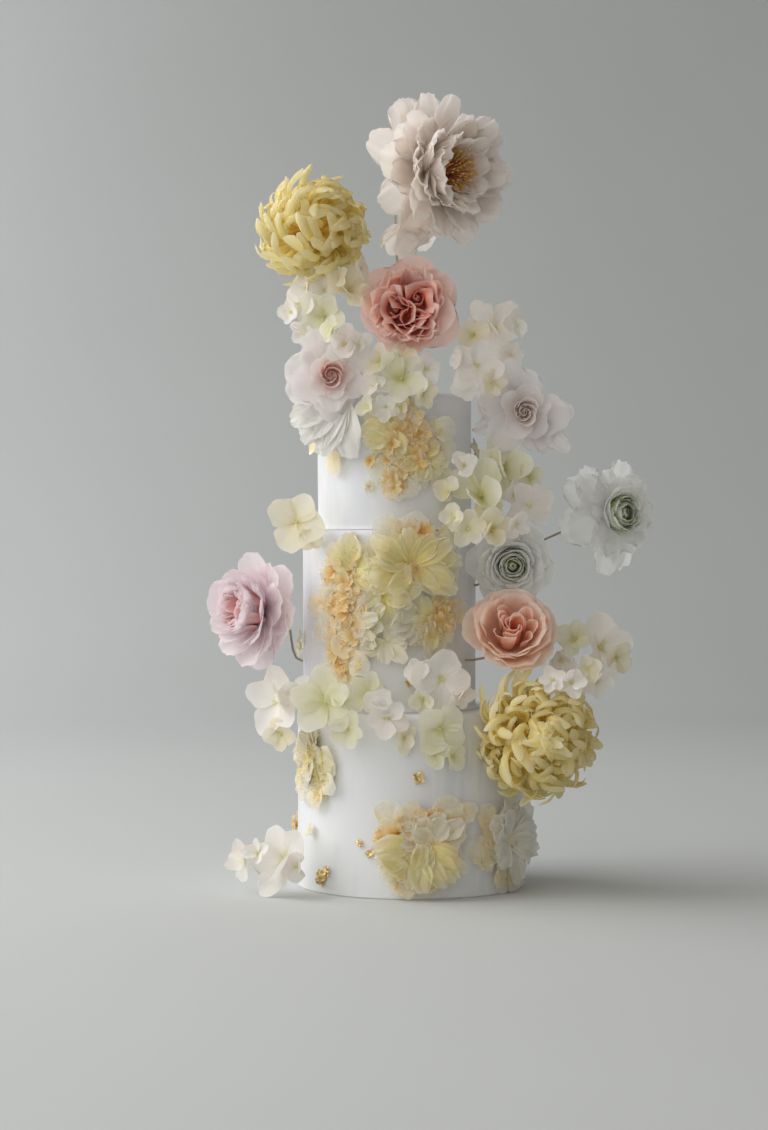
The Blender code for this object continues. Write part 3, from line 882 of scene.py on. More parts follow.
# %% [markdown]
# An open rose is simpler: a small tight spiral in the middle of broad, rounded petals that roll
# back at the rim. A drooping rose is an open one with four narrow petals more.

# %% Grow open roses
def grow_open_rose(flower, bud=0.23, width=0.92, stray=0.7):
    """Three rings that roll back round a spiral bud; stray says how unevenly the outer one lies."""
    flower.whorl(
        "petals", 6, 30, jitter=stray, tier=1.0, length=1.04, width=width, lean=92, opening=76,
        curl=34, cup=24, ruffle=0.036, waves=1.8, tip=0.40, reach=0.06, rise=-0.16, rows=14,
        columns=14,
    )
    flower.whorl(
        "petals", 5, 65, jitter=0.6, tier=0.98, length=0.86, width=1.00, lean=78, opening=66,
        curl=40, cup=28, ruffle=0.03, waves=2.0, tip=0.38, reach=0.08, rise=-0.13, rows=13,
        columns=13,
    )
    flower.whorl(
        "petals", 5, 12, jitter=0.5, tier=0.62, length=0.56, width=1.10, lean=50, opening=42,
        curl=40, cup=46, ruffle=0.02, tip=0.34, reach=0.10, rise=-0.12, rows=11, columns=13,
    )
    spiral_bud(flower, 12, bud, 0.36, -0.04)


def grow_drooping_rose(flower):
    """An open rose whose outer petals are narrow and hang unevenly."""
    grow_open_rose(flower, bud=0.20, width=0.66, stray=1.3)
    flower.whorl(
        "petals", 4, 10, jitter=1.4, tier=1.0, length=1.08, width=0.5, lean=96, opening=84, curl=40,
        cup=40, ruffle=0.05, waves=2.0, tip=0.5, reach=0.05, rise=-0.2, rows=14, columns=13,
    )


print("an open and a drooping rose can be grown")

# %% [markdown]
# ## Ranunculus
# A ranunculus is a button of many thin, round petals around a tight green eye. One of the two is
# a button of four rings on three wide and ragged ones. The other has nine even rings that open
# from nearly closed to wide. In both, a share that grows from ring to ring sets the lean, the
# opening and the length.

# %% Grow ranunculus
def green_eye(flower, size, rise):
    """Small green petals that close over the middle, in four rings."""
    for ring in range(4):
        flower.whorl(
            "petals", 6, 31 * ring, jitter=0.25, tier=0.05 * ring, thick=0.4,
            length=size * (0.7 + 0.18 * ring), width=1.0, lean=4 + 9 * ring,
            opening=-50 + 12 * ring, cup=64, tip=0.3, ruffle=0.01, reach=size * (0.1 + 0.2 * ring),
            rise=rise - 0.02 * ring, rows=8, columns=9,
        )


def grow_ranunculus(flower):
    """A button of closed petals on a wide, ragged skirt."""
    green_eye(flower, 0.36, 0.10)
    for ring in range(4):
        share = ring / 3
        flower.whorl(
            "petals", 7, 23 * ring, jitter=0.3, tier=0.26 + 0.3 * share, thick=0.4,
            length=0.44 + 0.16 * share, width=0.98, lean=16 + 26 * share, opening=-16 + 40 * share,
            curl=10, cup=50 - 8 * share, ruffle=0.02, tip=0.36, notch=0.04, frill=0.012, reach=0.20,
            rise=-0.04 - 0.04 * share, rows=10, columns=11,
        )
    for ring in range(3):
        flower.whorl(
            "petals", 8 - ring % 2, 37 * ring, jitter=0.7, tier=0.8 + 0.1 * ring, thick=0.4,
            length=0.78 + 0.14 * ring, width=0.78, lean=62 + 14 * ring, opening=58 + 14 * ring,
            curl=12, cup=24, ruffle=0.04, waves=3.2, tip=0.36, notch=0.05, frill=0.016, reach=0.08,
            rise=-0.16 - 0.05 * ring, widest=0.75, rows=13, columns=14,
        )
    print(f"{flower.name}: {len(flower.skins['petals'])} petals")


def grow_layered_ranunculus(flower):
    """Nine rings of thin round petals, one inside the other."""
    green_eye(flower, 0.32, 0.12)
    for ring in range(9):
        share = ring / 8
        flower.whorl(
            "petals", 6, 37 * ring, jitter=0.3, tier=0.26 + 0.74 * share, thick=0.4,
            length=0.44 + 0.56 * share, width=1.12 - 0.1 * share, lean=14 + 62 * share,
            opening=-16 + 66 * share, curl=14, cup=54 - 24 * share, ruffle=0.014 + 0.012 * share,
            tip=0.34, notch=0.02, frill=0.006, reach=0.16 - 0.06 * share, rise=-0.04 - 0.2 * share,
            rows=11, columns=13,
        )


print("two kinds of ranunculus can be grown")

# %% [markdown]
# ## Incurved chrysanthemums
# This flower is a ball of long ribbons with a U-shaped section, which arch over and curl in. Their
# feet are set into a small ball. Spreading them by the golden angle fills the ball evenly, and
# swirl lays them over to one side. A few curled claws stand out at the rim. The second flower is
# looser: its ribbons stray more, and a star of straight ones stands over its middle.

# %% Grow chrysanthemums
def grow_chrysanthemum(
    flower, count=190, wild=0.8, length=0.86, width=0.165, depth=0.26, swirl=46, stray_turn=75
):
    """Ribbons set into a ball. wild scales every stray, stray_turn how far one is spun about."""
    golden = 180 * (3 - math.sqrt(5))
    covered = 1.7  # a whole ball would be 2; the rest is the open back
    for number in range(count):
        share = (number + 0.5) / count
        polar = math.degrees(math.acos(1 - covered * share))
        stray, twist, swing = wild * flower.dice.uniform(-1, 1, 3)
        size = length + 0.14 * stray
        flower.stud(
            "petals", golden * number + 20 * twist, polar + 8 * twist, depth + 0.06 * stray,
            spin=-90 + swirl + stray_turn * swing, tier=share, length=size,
            width=(width + 0.04 * twist) / size, lean=44 + 20 * stray, opening=-84 + 30 * swing,
            curl=-20 + 50 * twist, cup=62, tip=0.22, sway=0.24 * wild * flower.dice.uniform(-1, 1),
            seat=0.5, widest=0.6, shoulder=0.96, ruffle=0.012, waves=1.0, rows=12, columns=8,
        )
    claws = 9
    for number in range(claws):
        flower.stud(
            "petals", 360 / claws * number + 30 * flower.dice.uniform(-1, 1), 88, 0.36,
            spin=flower.dice.uniform(0, 360), tier=0.9, length=0.70, width=0.15, lean=0, opening=50,
            curl=90, cup=60, tip=0.5, sway=0.3 * flower.dice.uniform(-1, 1), seat=0.6, rows=18,
            columns=7,
        )
    print(f"{flower.name}: {count} ribbons")


def grow_wild_chrysanthemum(flower):
    """The same ball, looser, with a star of straight ribbons over its middle."""
    grow_chrysanthemum(
        flower, count=250, wild=1.1, length=0.66, width=0.16, depth=0.36, swirl=-20, stray_turn=130
    )
    flower.whorl(
        "petals", 14, 0, jitter=1.6, tier=0.4, length=0.60, width=0.26, lean=24, opening=-30,
        cup=60, tip=0.4, seat=0.5, reach=0.18, rise=0.10, rows=12, columns=8,
    )
    for number in range(15):
        flower.stud(
            "petals", GOLDEN_TURN * number, 4 + 2 * number, 0.74 - 0.008 * number,
            spin=90 + 20 * flower.dice.uniform(-1, 1), tier=0.7,
            length=0.46 * flower.dice.uniform(0.8, 1.3), width=0.30,
            lean=66 + flower.dice.uniform(-14, 8), opening=80, curl=30 * flower.dice.uniform(-1, 1),
            cup=50, tip=0.3, seat=0.6, widest=0.6, rows=12, columns=7,
        )


print("two kinds of chrysanthemum can be grown")

# %% [markdown]
# ## Small blossoms
# The small blossoms have four or five broad, translucent petals around a dot of green and a few
# stamens. They are cut from wafer paper and dried, so no two petals lie alike: the loop lets lean,
# length and ruffle stray a good deal.

# %% Grow small blossoms
FOLDED = 0.16  # the share of petals that stand up


def grow_blossom(flower, count):
    """A blossom with this many petals, five stamens and a pistil."""
    start = flower.dice.uniform(0, 360)
    for number in range(count):
        folded = flower.dice.uniform() < FOLDED
        lean = flower.dice.uniform(24, 40) if folded else flower.dice.uniform(66, 92)
        flower.grow(
            "petals", start + 360 * number / count + flower.dice.uniform(-10, 10), tier=0.5,
            thick=0.45, length=flower.dice.uniform(0.88, 1.1),
            width=flower.dice.uniform(4.4, 5.2) / (count + 0.4), lean=lean,
            opening=lean + flower.dice.uniform(-24, 14), curl=flower.dice.uniform(-26, 18),
            cup=flower.dice.uniform(14, 34), ruffle=flower.dice.uniform(0.008, 0.03),
            waves=flower.dice.uniform(1.0, 2.0), notch=flower.dice.uniform(0.0, 0.04), frill=0.006,
            tip=0.5, seat=0.2, widest=0.58, shoulder=0.8, reach=0.03, rows=8, columns=10,
        )
    flower.stamens(5, 0.20, 34, thread=0.22, anther=1.0)
    flower.stick(
        "pistils", [(0, 0, -0.05), (0, 0, 0.04), (0.02, 0.01, 0.11)], 1.3, sides=6, taper=0.6
    )


print("a small blossom can be grown")

# %% [markdown]
# ## Where each flower looks
# The plain solids say where each flower is and how big. Which way it faces is chosen here: an
# azimuth round the cake, 0 to the front and more to the right, and a tilt upward. Two rings of
# green sepals close the back of each head, where its wire goes in. They grow after the fit, so
# that they don't change how big the petals are.

# %% Make the large flowers
LARGE_FLOWERS = {
    # node: how it grows, the petals' slot, the azimuth it faces, its tilt
    "peony_crown": (grow_crown_peony, "petal_blush", 40, -2),
    "chrysanthemum_left": (grow_chrysanthemum, "petal_primrose", 4, 18),
    "garden_rose_pink": (grow_garden_rose, "petal_coral", 0, 5),
    "rose_blush": (grow_open_rose, "petal_shell_pink", 0, 0),
    "rose_white": (grow_drooping_rose, "petal_mauve_white", 5, -5),
    "ranunculus_far": (grow_ranunculus, "petal_cool_white", 32, 4),
    "ranunculus_near": (grow_layered_ranunculus, "petal_cool_white", 4, -10),
    "rose_peach": (grow_cupped_rose, "petal_apricot", 4, 30),
    "peony_left": (grow_left_peony, "petal_lilac_pink", -52, 4),
    "chrysanthemum_right": (grow_wild_chrysanthemum, "petal_primrose", 8, 0),
}


def finish_parts(slot):
    """The finish and the slot of each part of a flower whose petals have this slot."""
    crown_peony = slot == "petal_blush"
    wafer_blossom = slot in {"petal_white", "petal_cream", "petal_leaf_cream"}
    parts = {"petals": slot, "threads": "stamen", "anthers": "stamen"}
    made = {part: (finishes[name], name) for part, name in parts.items()}
    made["sepals"] = (green_sepal, "calyx")
    made["pistils"] = (tawny if crown_peony else pale_pistil, "calyx")
    if wafer_blossom:
        made["threads"] = (pale_stamen, "stamen")
        made["anthers"] = (pale_stamen, "stamen")
    return made


for node, (grow, slot, faces, tilt) in LARGE_FLOWERS.items():
    flower = Flower(node, faces, tilt)
    grow(flower)
    flower.fit()
    for ring in range(2):
        flower.whorl(
            "sepals", 5, 36 * ring, jitter=0.5, tier=0.5, thick=0.8, length=0.34 - 0.08 * ring,
            width=0.9, lean=100, opening=72, cup=30, tip=0.9, seat=0.5, widest=0.4,
            rise=-0.36 - 0.03 * ring, rows=9, columns=9,
        )
    flower.make(finish_parts(slot))
    print(f"{node}: {flower.scale / MM:.0f} mm from its middle to its rim")

# %% [markdown]
# ## A skirt for the crown peony
# Below the peony on the crown, a few loose petals hang down over its wire. They are a small flower
# of their own: one ring of six petals that faces the floor, set beside the peony's plain solid.

# %% Petals that hang under the crown peony
flower = Flower("peony_skirt", 14, -58)
flower.whorl(
    "petals", 6, 20, jitter=0.9, tier=1.0, thick=0.6, length=1.0, width=0.86, lean=64, opening=30,
    curl=-10, cup=40, ruffle=0.03, tip=0.45, seat=0.3, reach=0.1, rise=-0.2, rows=13, columns=13,
)
flower.stand_beside("peony_crown", -33, -53, 12, 27)
flower.make(finish_parts("petal_blush"))
print("a skirt of petals hides the wire")

# %% [markdown]
# ## Leading blossoms
# Each leading blossom has a plain solid, which gives its place, its size and its colour. Only the
# azimuth and the tilt are chosen, and whether it has four petals or five.

# %% Make the small blossoms
BLOSSOM_TURNS = {
    # name: the azimuth it faces, its tilt
    "crown_1": (18, 10), "crown_2": (-30, 5), "crown_3": (-12, -5), "crown_4": (-10, 15),
    "crown_5": (0, -5), "crown_6": (25, 8), "crown_7": (12, -5), "rim_1": (0, 10),
    "rim_2": (-6, -10), "left_high": (-18, 5), "cluster_1": (0, 5), "cluster_2": (15, 12),
    "cluster_3": (0, -8), "cluster_4": (8, -8), "cluster_5": (35, 0), "garland_1": (4, 5),
    "garland_2": (-14, 8), "garland_3": (-20, -10), "garland_4": (-4, 15), "garland_5": (-4, 10),
    "garland_6": (0, -5), "garland_7": (-38, 8), "garland_8": (8, -5), "spray_1": (15, 5),
    "spray_2": (10, 10), "spray_3": (4, 20), "spray_4": (25, 10), "base_1": (-35, 12),
    "base_2": (-45, 10),
}
slot_of = {node: shown.data.materials[0].name for node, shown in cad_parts.items()}
FOUR_PETALS = {"left_high", "cluster_2", "cluster_5", "garland_1", "garland_8", "spray_1"}
for name, (faces, tilt) in BLOSSOM_TURNS.items():
    flower = Flower("blossom_" + name, faces, tilt)
    grow_blossom(flower, 4 if name in FOUR_PETALS else 5)
    flower.fit()
    flower.make(finish_parts(slot_of["blossom_" + name]))
print(f"{len(BLOSSOM_TURNS)} small blossoms", sorted(set(slot_of.values())))

# %% [markdown]
# ## Fill the clusters
# On the real cake each cluster is crowded: blossoms overlap, and some turn their side or back to
# the room. The plain model has one solid for each leading blossom. The ones that crowd round it are
# added here, each by how far its middle is from the middle of a leading blossom.

# %% Crowd more blossoms round the leading ones
CROWD = (
    # beside which blossom, right, up, back, radius (all in mm), faces, tilt, slot, petals
    ("crown_1", 9, 14, -2, 12, 62, 10, "white", 4),
    ("crown_1", 14, -10, 2, 13, 20, -12, "leaf_cream", 4),
    ("crown_1", -11, 6, 3, 14, -30, 12, "cream", 5),
    ("crown_2", -5, -7, 4, 13, -40, -10, "white", 4),
    ("crown_3", -16, -12, 8, 14, -30, -15, "white", 5),
    ("crown_4", -16, 3, 6, 13, -20, 20, "white", 4),
    ("crown_5", 10, -2, 4, 13, 30, -10, "white", 4),
    ("crown_5", -12, 10, 6, 12, -35, 5, "leaf_cream", 4),
    ("rim_1", -17, 14, 4, 15, -18, 14, "cream", 5),
    ("rim_1", 23, 8, 9, 14, 24, 8, "white", 4),
    ("rim_1", 2, 17, 12, 15, 6, 22, "cream", 4),
    ("rim_1", -22, -6, 5, 13, -24, -6, "white", 4),
    ("rim_1", 20, -13, 5, 13, 18, -14, "cream", 5),
    ("rim_2", -14, 1, 5, 12, -22, 0, "leaf_cream", 4),
    ("rim_2", 14, 1, 3, 11, 18, -4, "cream", 5),
    ("crown_6", -21, -3, 4, 16, -18, 5, "cream", 4),
    ("crown_6", 16, 5, 6, 15, 40, 14, "white", 4),
    ("crown_6", 11, -20, 4, 13, 22, -16, "white", 5),
    ("crown_7", -16, 8, 3, 13, -58, 6, "white", 4),
    ("crown_7", -11, -16, 6, 13, -14, -18, "white", 4),
    ("crown_7", 12, -13, 4, 13, 26, -12, "cream", 5),
    ("cluster_1", -10, 21, 3, 14, -12, 18, "white", 4),
    ("cluster_1", -22, -2, 6, 15, -26, 0, "cream", 4),
    ("cluster_2", 18, -8, 7, 14, 34, -2, "leaf_cream", 4),
    ("cluster_2", 3, -23, -9, 15, 52, -6, "white", 4),
    ("cluster_2", -15, 7, 5, 13, -16, 12, "leaf_cream", 5),
    ("cluster_3", -13, 9, 5, 12, -20, 4, "cream", 4),
    ("cluster_4", 15, 1, 5, 13, 26, -8, "white", 4),
    ("left_high", 12, -13, 5, 12, 6, -20, "cream", 4),
    ("garland_7", 9, -27, 5, 17, -30, -14, "cream", 4),
    ("garland_7", 22, 7, 2, 17, -20, 14, "white", 5),
    ("garland_2", 17, -3, 6, 15, 6, 2, "leaf_cream", 4),
    ("garland_5", -6, 11, 8, 16, -6, 12, "white", 4),
    ("garland_1", -15, -17, 6, 14, -12, -14, "leaf_cream", 4),
    ("garland_1", -20, 6, 6, 13, -24, 10, "white", 4),
    ("garland_1", 17, -13, 5, 13, 24, -12, "white", 5),
    ("garland_8", -7, -20, 2, 14, -6, -20, "leaf_cream", 4),
    ("garland_8", 9, -22, 6, 14, 14, -20, "leaf_cream", 4),
    ("spray_2", -13, -18, -14, 14, -6, 6, "white", 4),
    ("spray_4", -9, 12, 4, 12, 10, 16, "cream", 4),
    ("spray_3", -14, 3, 5, 13, -14, 16, "white", 5),
    ("spray_1", 6, -8, 6, 18, 40, -12, "cream", 4),
    ("base_1", 18, -1, -6, 14, 4, 8, "white", 4),
    ("base_1", -15, 8, 4, 14, -52, 20, "white", 5),
)
for number, (near, right, up, back, radius, faces, tilt, slot, petals) in enumerate(CROWD):
    flower = Flower(f"crowd_{number:02d}", faces, tilt)
    grow_blossom(flower, petals)
    flower.stand_beside("blossom_" + near, right, up, back, radius)
    flower.make(finish_parts("petal_" + slot))
print(f"{len(CROWD)} more blossoms")

# %% [markdown]
# ## Smooth icing
# Each tier is a cake under a coat of icing that was smoothed by hand. A lathe shape gives it: a
# profile with a rounded top edge, carried round the axis. The coat isn't perfectly round, so the
# radius strays by a few tenths of a millimetre in long soft waves. Where a tier stands on another,
# a bead of icing is smoothed into the joint. The finish comes first: long soft streaks of the
# palette knife, a few warmer clouds, and a fine grain in its bump.

# %% Icing finish
def icing_finish():
    """White icing with long streaks, warmer clouds and folds left by the palette knife, whose
    creases are painted darker blue-grey as shade.
    """
    finish = Finish("smooth_icing")
    place = finish.node("TexCoord", {}, {}, out="Object")
    wash = finish.noise(place * (1.0, 1.0, 0.45), 9.0, 4.0, 0.55)
    streak = finish.noise(place * (1.0, 1.0, 0.10), 26.0, 3.0, 0.5)
    brushed = finish.noise(place * (1.0, 1.0, 0.16) + wash * 0.03, 60.0, 2.0, 0.5)
    # fold marks the creases left by the knife: the bump sinks them, and their colour is painted
    # darker as shade.
    fold = finish.step(brushed, 0.52, 0.60) * finish.step(wash, 0.46, 0.58)
    white = finish.mix(finish.step(wash, 0.42, 0.72), (0.79, 0.80, 0.81), (0.73, 0.73, 0.745))
    tinted = finish.mix(finish.step(streak, 0.50, 0.75) * 0.6, white, (0.68, 0.70, 0.74))
    warm = finish.mix(
        finish.step(finish.noise(place, 14.0, 2.0), 0.60, 0.78) * 0.35, tinted, (0.80, 0.77, 0.70)
    )
    # Painted shade: the creases of the folds are darkened to blue-grey.
    colour = finish.mix(fold * 0.3, warm, (0.56, 0.60, 0.66))
    grain_of_icing = finish.noise(place, 420.0, 3.0)
    relief = grain_of_icing * 0.12 + streak * 0.5 - fold * 0.25
    sockets = {
        "Base Color": colour,
        "Roughness": 0.52 + 0.12 * wash,
        "Specular IOR Level": 0.4,
        "Coat Weight": 0.04,
        "Normal": finish.bump(relief, 0.35, 0.8 * MM),
    }
    return finish.done(finish.node("BsdfPrincipled", {}, sockets))


finishes["icing"] = icing_finish()
print(f"{finishes['icing'].name} is mixed")

# %% [markdown]
# The profile runs from the foot up the side, round the top edge and in over the lid. It is turned
# into rings of points, and the waves are taken off the side only, so the lid and the foot keep the
# plain tier's height.

# %% Turn the three tiers
EDGE = 5.5 * MM  # the round of the top edge
FOOT = 1.2 * MM  # the chamfer of a tier that stands on the floor
AROUND, UP = 120, 30  # points round a tier and up its side
WAVES, WAVE_DEPTH = 9, 0.10 * MM


def iced_tier(node, fillet):
    """A lathe shape in the plain tier's box, with a fillet of this radius round its foot."""
    low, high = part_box(node)
    middle_x = (low.x + high.x) / 2
    radius = (high.x - low.x) / 2
    dice = np.random.default_rng(zlib.crc32(node.encode()))
    sweep = np.linspace(0, math.pi / 2, 7)
    side = [(radius, z) for z in np.linspace(low.z + max(fillet, FOOT), high.z - EDGE, UP)]
    foot = [(radius * 0.5, low.z)]
    if fillet:
        foot += [
            (radius + fillet * (1 - math.sin(a)), low.z + fillet * (1 - math.cos(a)))
            for a in sweep[:-1]
        ]
    else:
        foot += [(radius - FOOT, low.z)]
    rounding = [
        (radius - EDGE + EDGE * math.cos(a), high.z - EDGE + EDGE * math.sin(a)) for a in sweep[1:]
    ]
    lid = [(radius * share, high.z) for share in (0.86, 0.7, 0.5, 0.3, 0.12)]
    profile = np.array(foot + side + rounding + lid)
    turn = np.linspace(0, math.tau, AROUND, endpoint=False)
    reach = profile[:, 0][:, None] + 0 * turn[None, :]
    level = profile[:, 1][:, None] + 0 * turn[None, :]
    for _ in range(WAVES):
        lobes = dice.integers(2, 9)
        bend = dice.uniform(8, 30)
        wave = np.sin(lobes * turn[None, :] + bend * level + dice.uniform(0, math.tau))
        reach = reach - WAVE_DEPTH * (1 + wave) * (reach > radius * 0.8)
    points = np.stack([middle_x + reach * np.sin(turn), -reach * np.cos(turn), level], -1)
    rings = len(profile)
    index = np.arange(rings * AROUND).reshape(rings, AROUND)
    after = np.roll(index, -1, axis=1)
    quads = np.stack([index[:-1], after[:-1], after[1:], index[1:]], -1).reshape(-1, 4)
    ends = np.array([(middle_x, 0, low.z), (middle_x, 0, high.z)])
    base, crown = rings * AROUND, rings * AROUND + 1
    under = [(base, b, a, a) for a, b in zip(index[0], after[0])]
    over = [(crown, a, b, b) for a, b in zip(index[-1], after[-1])]
    piece = Piece()
    piece.add(
        np.concatenate([points.reshape(-1, 3), ends]), np.concatenate([quads, under, over]),
        (0, 0, 0, 0),
    )
    made = piece.make(f"{node}.icing", finishes["icing"], "icing", (node,))
    made.data.set_sharp_from_angle(angle=math.radians(40))
    return made


JOINT = 4 * MM  # the bead of icing where one tier stands on another
for node, fillet in (("tier_bottom", 0), ("tier_middle", JOINT), ("tier_top", JOINT)):
    shown = iced_tier(node, fillet)
    print(f"{shown.name}: {len(shown.data.polygons)} faces")

# %% [markdown]
# ## Places on the side of a tier
# Pressed petals, florets and gold leaf lie on the side of a tier. A place there is an azimuth, a
# height and how far it stands off the icing. A bit of mesh is made in its own frame, facing +z,
# and `settle` lays it at such a place, facing away from the cake.

# %% Settle a bit of mesh on a tier
def tier_axis(tier):
    """The x of a tier's axis, and its radius."""
    low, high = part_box(tier)
    return (low.x + high.x) / 2, (high.x - low.x) / 2


def on_side(tier, azimuth, height, off=0.0):
    """The point on a tier's side, and the direction that points away from the cake there."""
    middle_x, radius = tier_axis(tier)
    away = np.array((math.sin(math.radians(azimuth)), -math.cos(math.radians(azimuth)), 0.0))
    return np.array((middle_x, 0.0, height)) + away * (radius + off), away


def settle(grid, point, facing, spin=0.0):
    """Turns a grid that faces +z to face a direction, spins it about that, and moves it."""
    facing = np.asarray(facing, float) / np.linalg.norm(facing)
    side = np.cross((0.0, 0.0, 1.0), facing)
    side /= np.linalg.norm(side)
    upward = np.cross(facing, side)
    turn = math.radians(spin)
    right = side * math.cos(turn) + upward * math.sin(turn)
    high = upward * math.cos(turn) - side * math.sin(turn)
    return point + grid[..., :1] * right + grid[..., 1:2] * high + grid[..., 2:] * facing


def lay_petal(piece, dice, point, facing, spin, size, thick=0.35, **shape):
    """One petal whose foot is at a point; spin 0 lets it hang to the right, 90 stands it up."""
    grid, marks = petal(dice, **shape)
    marks[..., 2] = dice.uniform()
    marks[..., 3] = 0.5
    laid = settle(plant(grid, 0) * size, point, facing, spin)
    laid[..., 2] += max(0.0, FLOOR_GAP - laid[..., 2].min())
    points, faces = skin(laid, thick * MM)
    piece.add(points, faces, skin_marks(marks))


for tier in ("tier_bottom", "tier_middle", "tier_top"):
    print(f"{tier}: a radius of {tier_axis(tier)[1] / MM:.0f} mm")

# %% [markdown]
# ## Patches of pressed flowers
# On the sides of the tiers lie low patches: crushed florets with serrated rims, and thin petals of
# coloured wafer that lie almost flat and let the icing show through. The patch's plain solid gives
# its outline. A wash of flat petals covers it, florets crowd its middle, and fans of wafer petals
# spread from it. Creases and veins are too fine to model, so they are left to the finish's bump.
# The finishes come first.

# %% Finishes of the patches
OCHRE = [
    (0.0, (0.80, 0.37, 0.05)), (0.25, (0.93, 0.64, 0.20)), (0.6, (0.975, 0.83, 0.46)),
    (1.0, (0.985, 0.93, 0.70)),
]
STRAW = [
    (0.0, (0.92, 0.76, 0.12)), (0.25, (0.965, 0.89, 0.38)), (0.55, (0.975, 0.94, 0.62)),
    (1.0, (0.98, 0.965, 0.84)),
]
PRESSED = [(0.0, (0.95, 0.86, 0.55)), (0.4, (0.975, 0.94, 0.78)), (1.0, (0.98, 0.97, 0.92))]
GREYED = [(0.0, (0.88, 0.85, 0.68)), (0.4, (0.94, 0.93, 0.86)), (1.0, (0.96, 0.96, 0.95))]
finishes["petal_ochre"] = petal_finish(
    "ochre_pressed_floret", OCHRE, 0.0, (0.3, 0.5), (1.0, 0.92, 0.70), 0.16,
    stain=(1.0, 0.90, 0.74), rim=0.4,
)
finishes["petal_straw"] = petal_finish(
    "straw_wafer_petal", STRAW, 0.0, (0.3, 0.4), (1.0, 0.97, 0.80), 0.10, stain=(1.0, 0.93, 0.74),
    thin=(0.9, 0.36),
)
pressed_wafer = petal_finish(
    "pressed_wafer_petal", PRESSED, 0.0, (0.1, 0.2), (1.0, 0.97, 0.86), 0.12,
    stain=(1.0, 0.90, 0.70), thin=(0.75, 0.25),
)
grey_wafer = petal_finish(
    "grey_wafer_petal", GREYED, 0.0, (0.3, 0.4), (0.98, 0.98, 0.95), 0.06, thin=(0.8, 0.3)
)
sheer_white = petal_finish(
    "sheer_white_petal", MILK, 0.0, (0.4, 0.5), (0.98, 0.98, 0.95), 0.14, thin=(0.95, 0.5)
)
print("five finishes for pressed petals")

# %% [markdown]
# Three functions fill a patch. One lays a wash of petals flat on the icing, one a crushed floret
# and one a fan. The places of the wash and of the florets come from `scatter`, which spreads them
# by the golden angle inside a lobed outline; the fans have their places in a table.

# %% Fill a patch
PATCH_DEPTH = 6 * MM  # how far a patch's plain solid stands off its tier
OUTLINE = 0.985  # the sine of the widest azimuth, where a tier's side turns out of sight


def tier_of(patch):
    """The tier that a patch lies on, which is the second word of the patch's name."""
    return "tier_" + patch.split("_")[1]


def patch_reach(patch):
    """The azimuths and heights between which a patch lies on its tier."""
    low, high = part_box(patch)
    middle_x, radius = tier_axis(tier_of(patch))
    left = max(-OUTLINE, (low.x - middle_x) / (radius + PATCH_DEPTH))
    right = min(OUTLINE, (high.x - middle_x) / (radius + PATCH_DEPTH))
    return math.degrees(math.asin(left)), math.degrees(math.asin(right)), low.z, high.z


def scatter(dice, patch, count, spread):
    """Places in a patch's lobed outline, each with its share of the way out from the middle."""
    left, right, low, high = patch_reach(patch)
    lobes = dice.uniform(0, math.tau, 2)
    for number in range(count):
        turn = number * GOLDEN_RADIANS + dice.uniform(-0.3, 0.3)
        outline = 0.92 + 0.16 * math.sin(3 * turn + lobes[0]) + 0.12 * math.sin(5 * turn + lobes[1])
        share = math.sqrt((number + 0.5) / count) * spread * outline
        azimuth = (left + right) / 2 + (right - left) / 2 * share * math.cos(turn)
        height = (low + high) / 2 + (high - low) / 2 * share * math.sin(turn)
        yield azimuth, height, share


def add_floret(piece, dice, tier, azimuth, height, size, off=2.0):
    """A pressed floret: five to eight petals with jagged rims round a short foot."""
    point, away = on_side(tier, azimuth, height, off * MM)
    facing = away + 0.35 * dice.uniform(-1, 1, 3)
    start = dice.uniform(0, 360)
    count = dice.integers(5, 9)
    for number in range(count):
        lay_petal(
            piece, dice, point, facing, start + 360 * number / count + dice.uniform(-12, 12),
            size * MM, length=dice.uniform(0.8, 1.15), width=dice.uniform(0.6, 0.85),
            lean=dice.uniform(54, 82), opening=dice.uniform(80, 108), cup=34, tip=0.30, notch=0.10,
            frill=0.07, ruffle=0.05, waves=1.5, seat=0.25, widest=0.72, shoulder=0.85, rows=6,
            columns=9,
        )


def add_fan(piece, dice, tier, azimuth, height, count, size, width, first, last):
    """Thin petals that spread from one foot between two spins, almost flat on the icing."""
    for number in range(count):
        foot_azimuth = azimuth + dice.uniform(-3, 3)
        foot_height = height + dice.uniform(-3, 3) * MM
        point, away = on_side(tier, foot_azimuth, foot_height, 1.5 * MM)
        spin = first + (last - first) * (number + 0.5) / count + dice.uniform(-8, 8)
        lay_petal(
            piece, dice, point, away, spin, size * MM * dice.uniform(0.75, 1.15), thick=0.3,
            length=1.0, width=width * dice.uniform(0.8, 1.2), lean=dice.uniform(60, 80),
            opening=dice.uniform(80, 94), cup=dice.uniform(16, 40), tip=0.36, notch=0.03,
            frill=0.012, ruffle=0.045, waves=2.4, seat=0.2, widest=0.72, rows=11, columns=13,
        )


def add_wash(piece, dice, patch, count, size):
    """Thin petals pressed flat under the florets, each lying its own way."""
    for azimuth, height, share in scatter(dice, patch, count, 0.95):
        off = (0.9 + 1.2 * (1 - share)) * MM
        point, away = on_side(tier_of(patch), azimuth, height, off)
        lay_petal(
            piece, dice, point, away, dice.uniform(0, 360), size * MM * dice.uniform(0.7, 1.15),
            thick=0.3, length=1.0, width=dice.uniform(0.8, 1.1), lean=dice.uniform(74, 84),
            opening=dice.uniform(88, 96), cup=12, tip=0.4, notch=0.03, frill=0.015, ruffle=0.03,
            waves=2.2, seat=0.25, widest=0.66, rows=8, columns=10,
        )


left_side, right_side, low, high = patch_reach("relief_middle_ochre")
print(f"the ochre patch on the middle tier runs from {left_side:.0f} to {right_side:.0f} degrees")

# %% [markdown]
# Each patch draws from its own dice, seeded by its name, so a change to one patch leaves the
# others as they are. One of them has no florets: it is a single frilled flower at the edge of its
# tier.

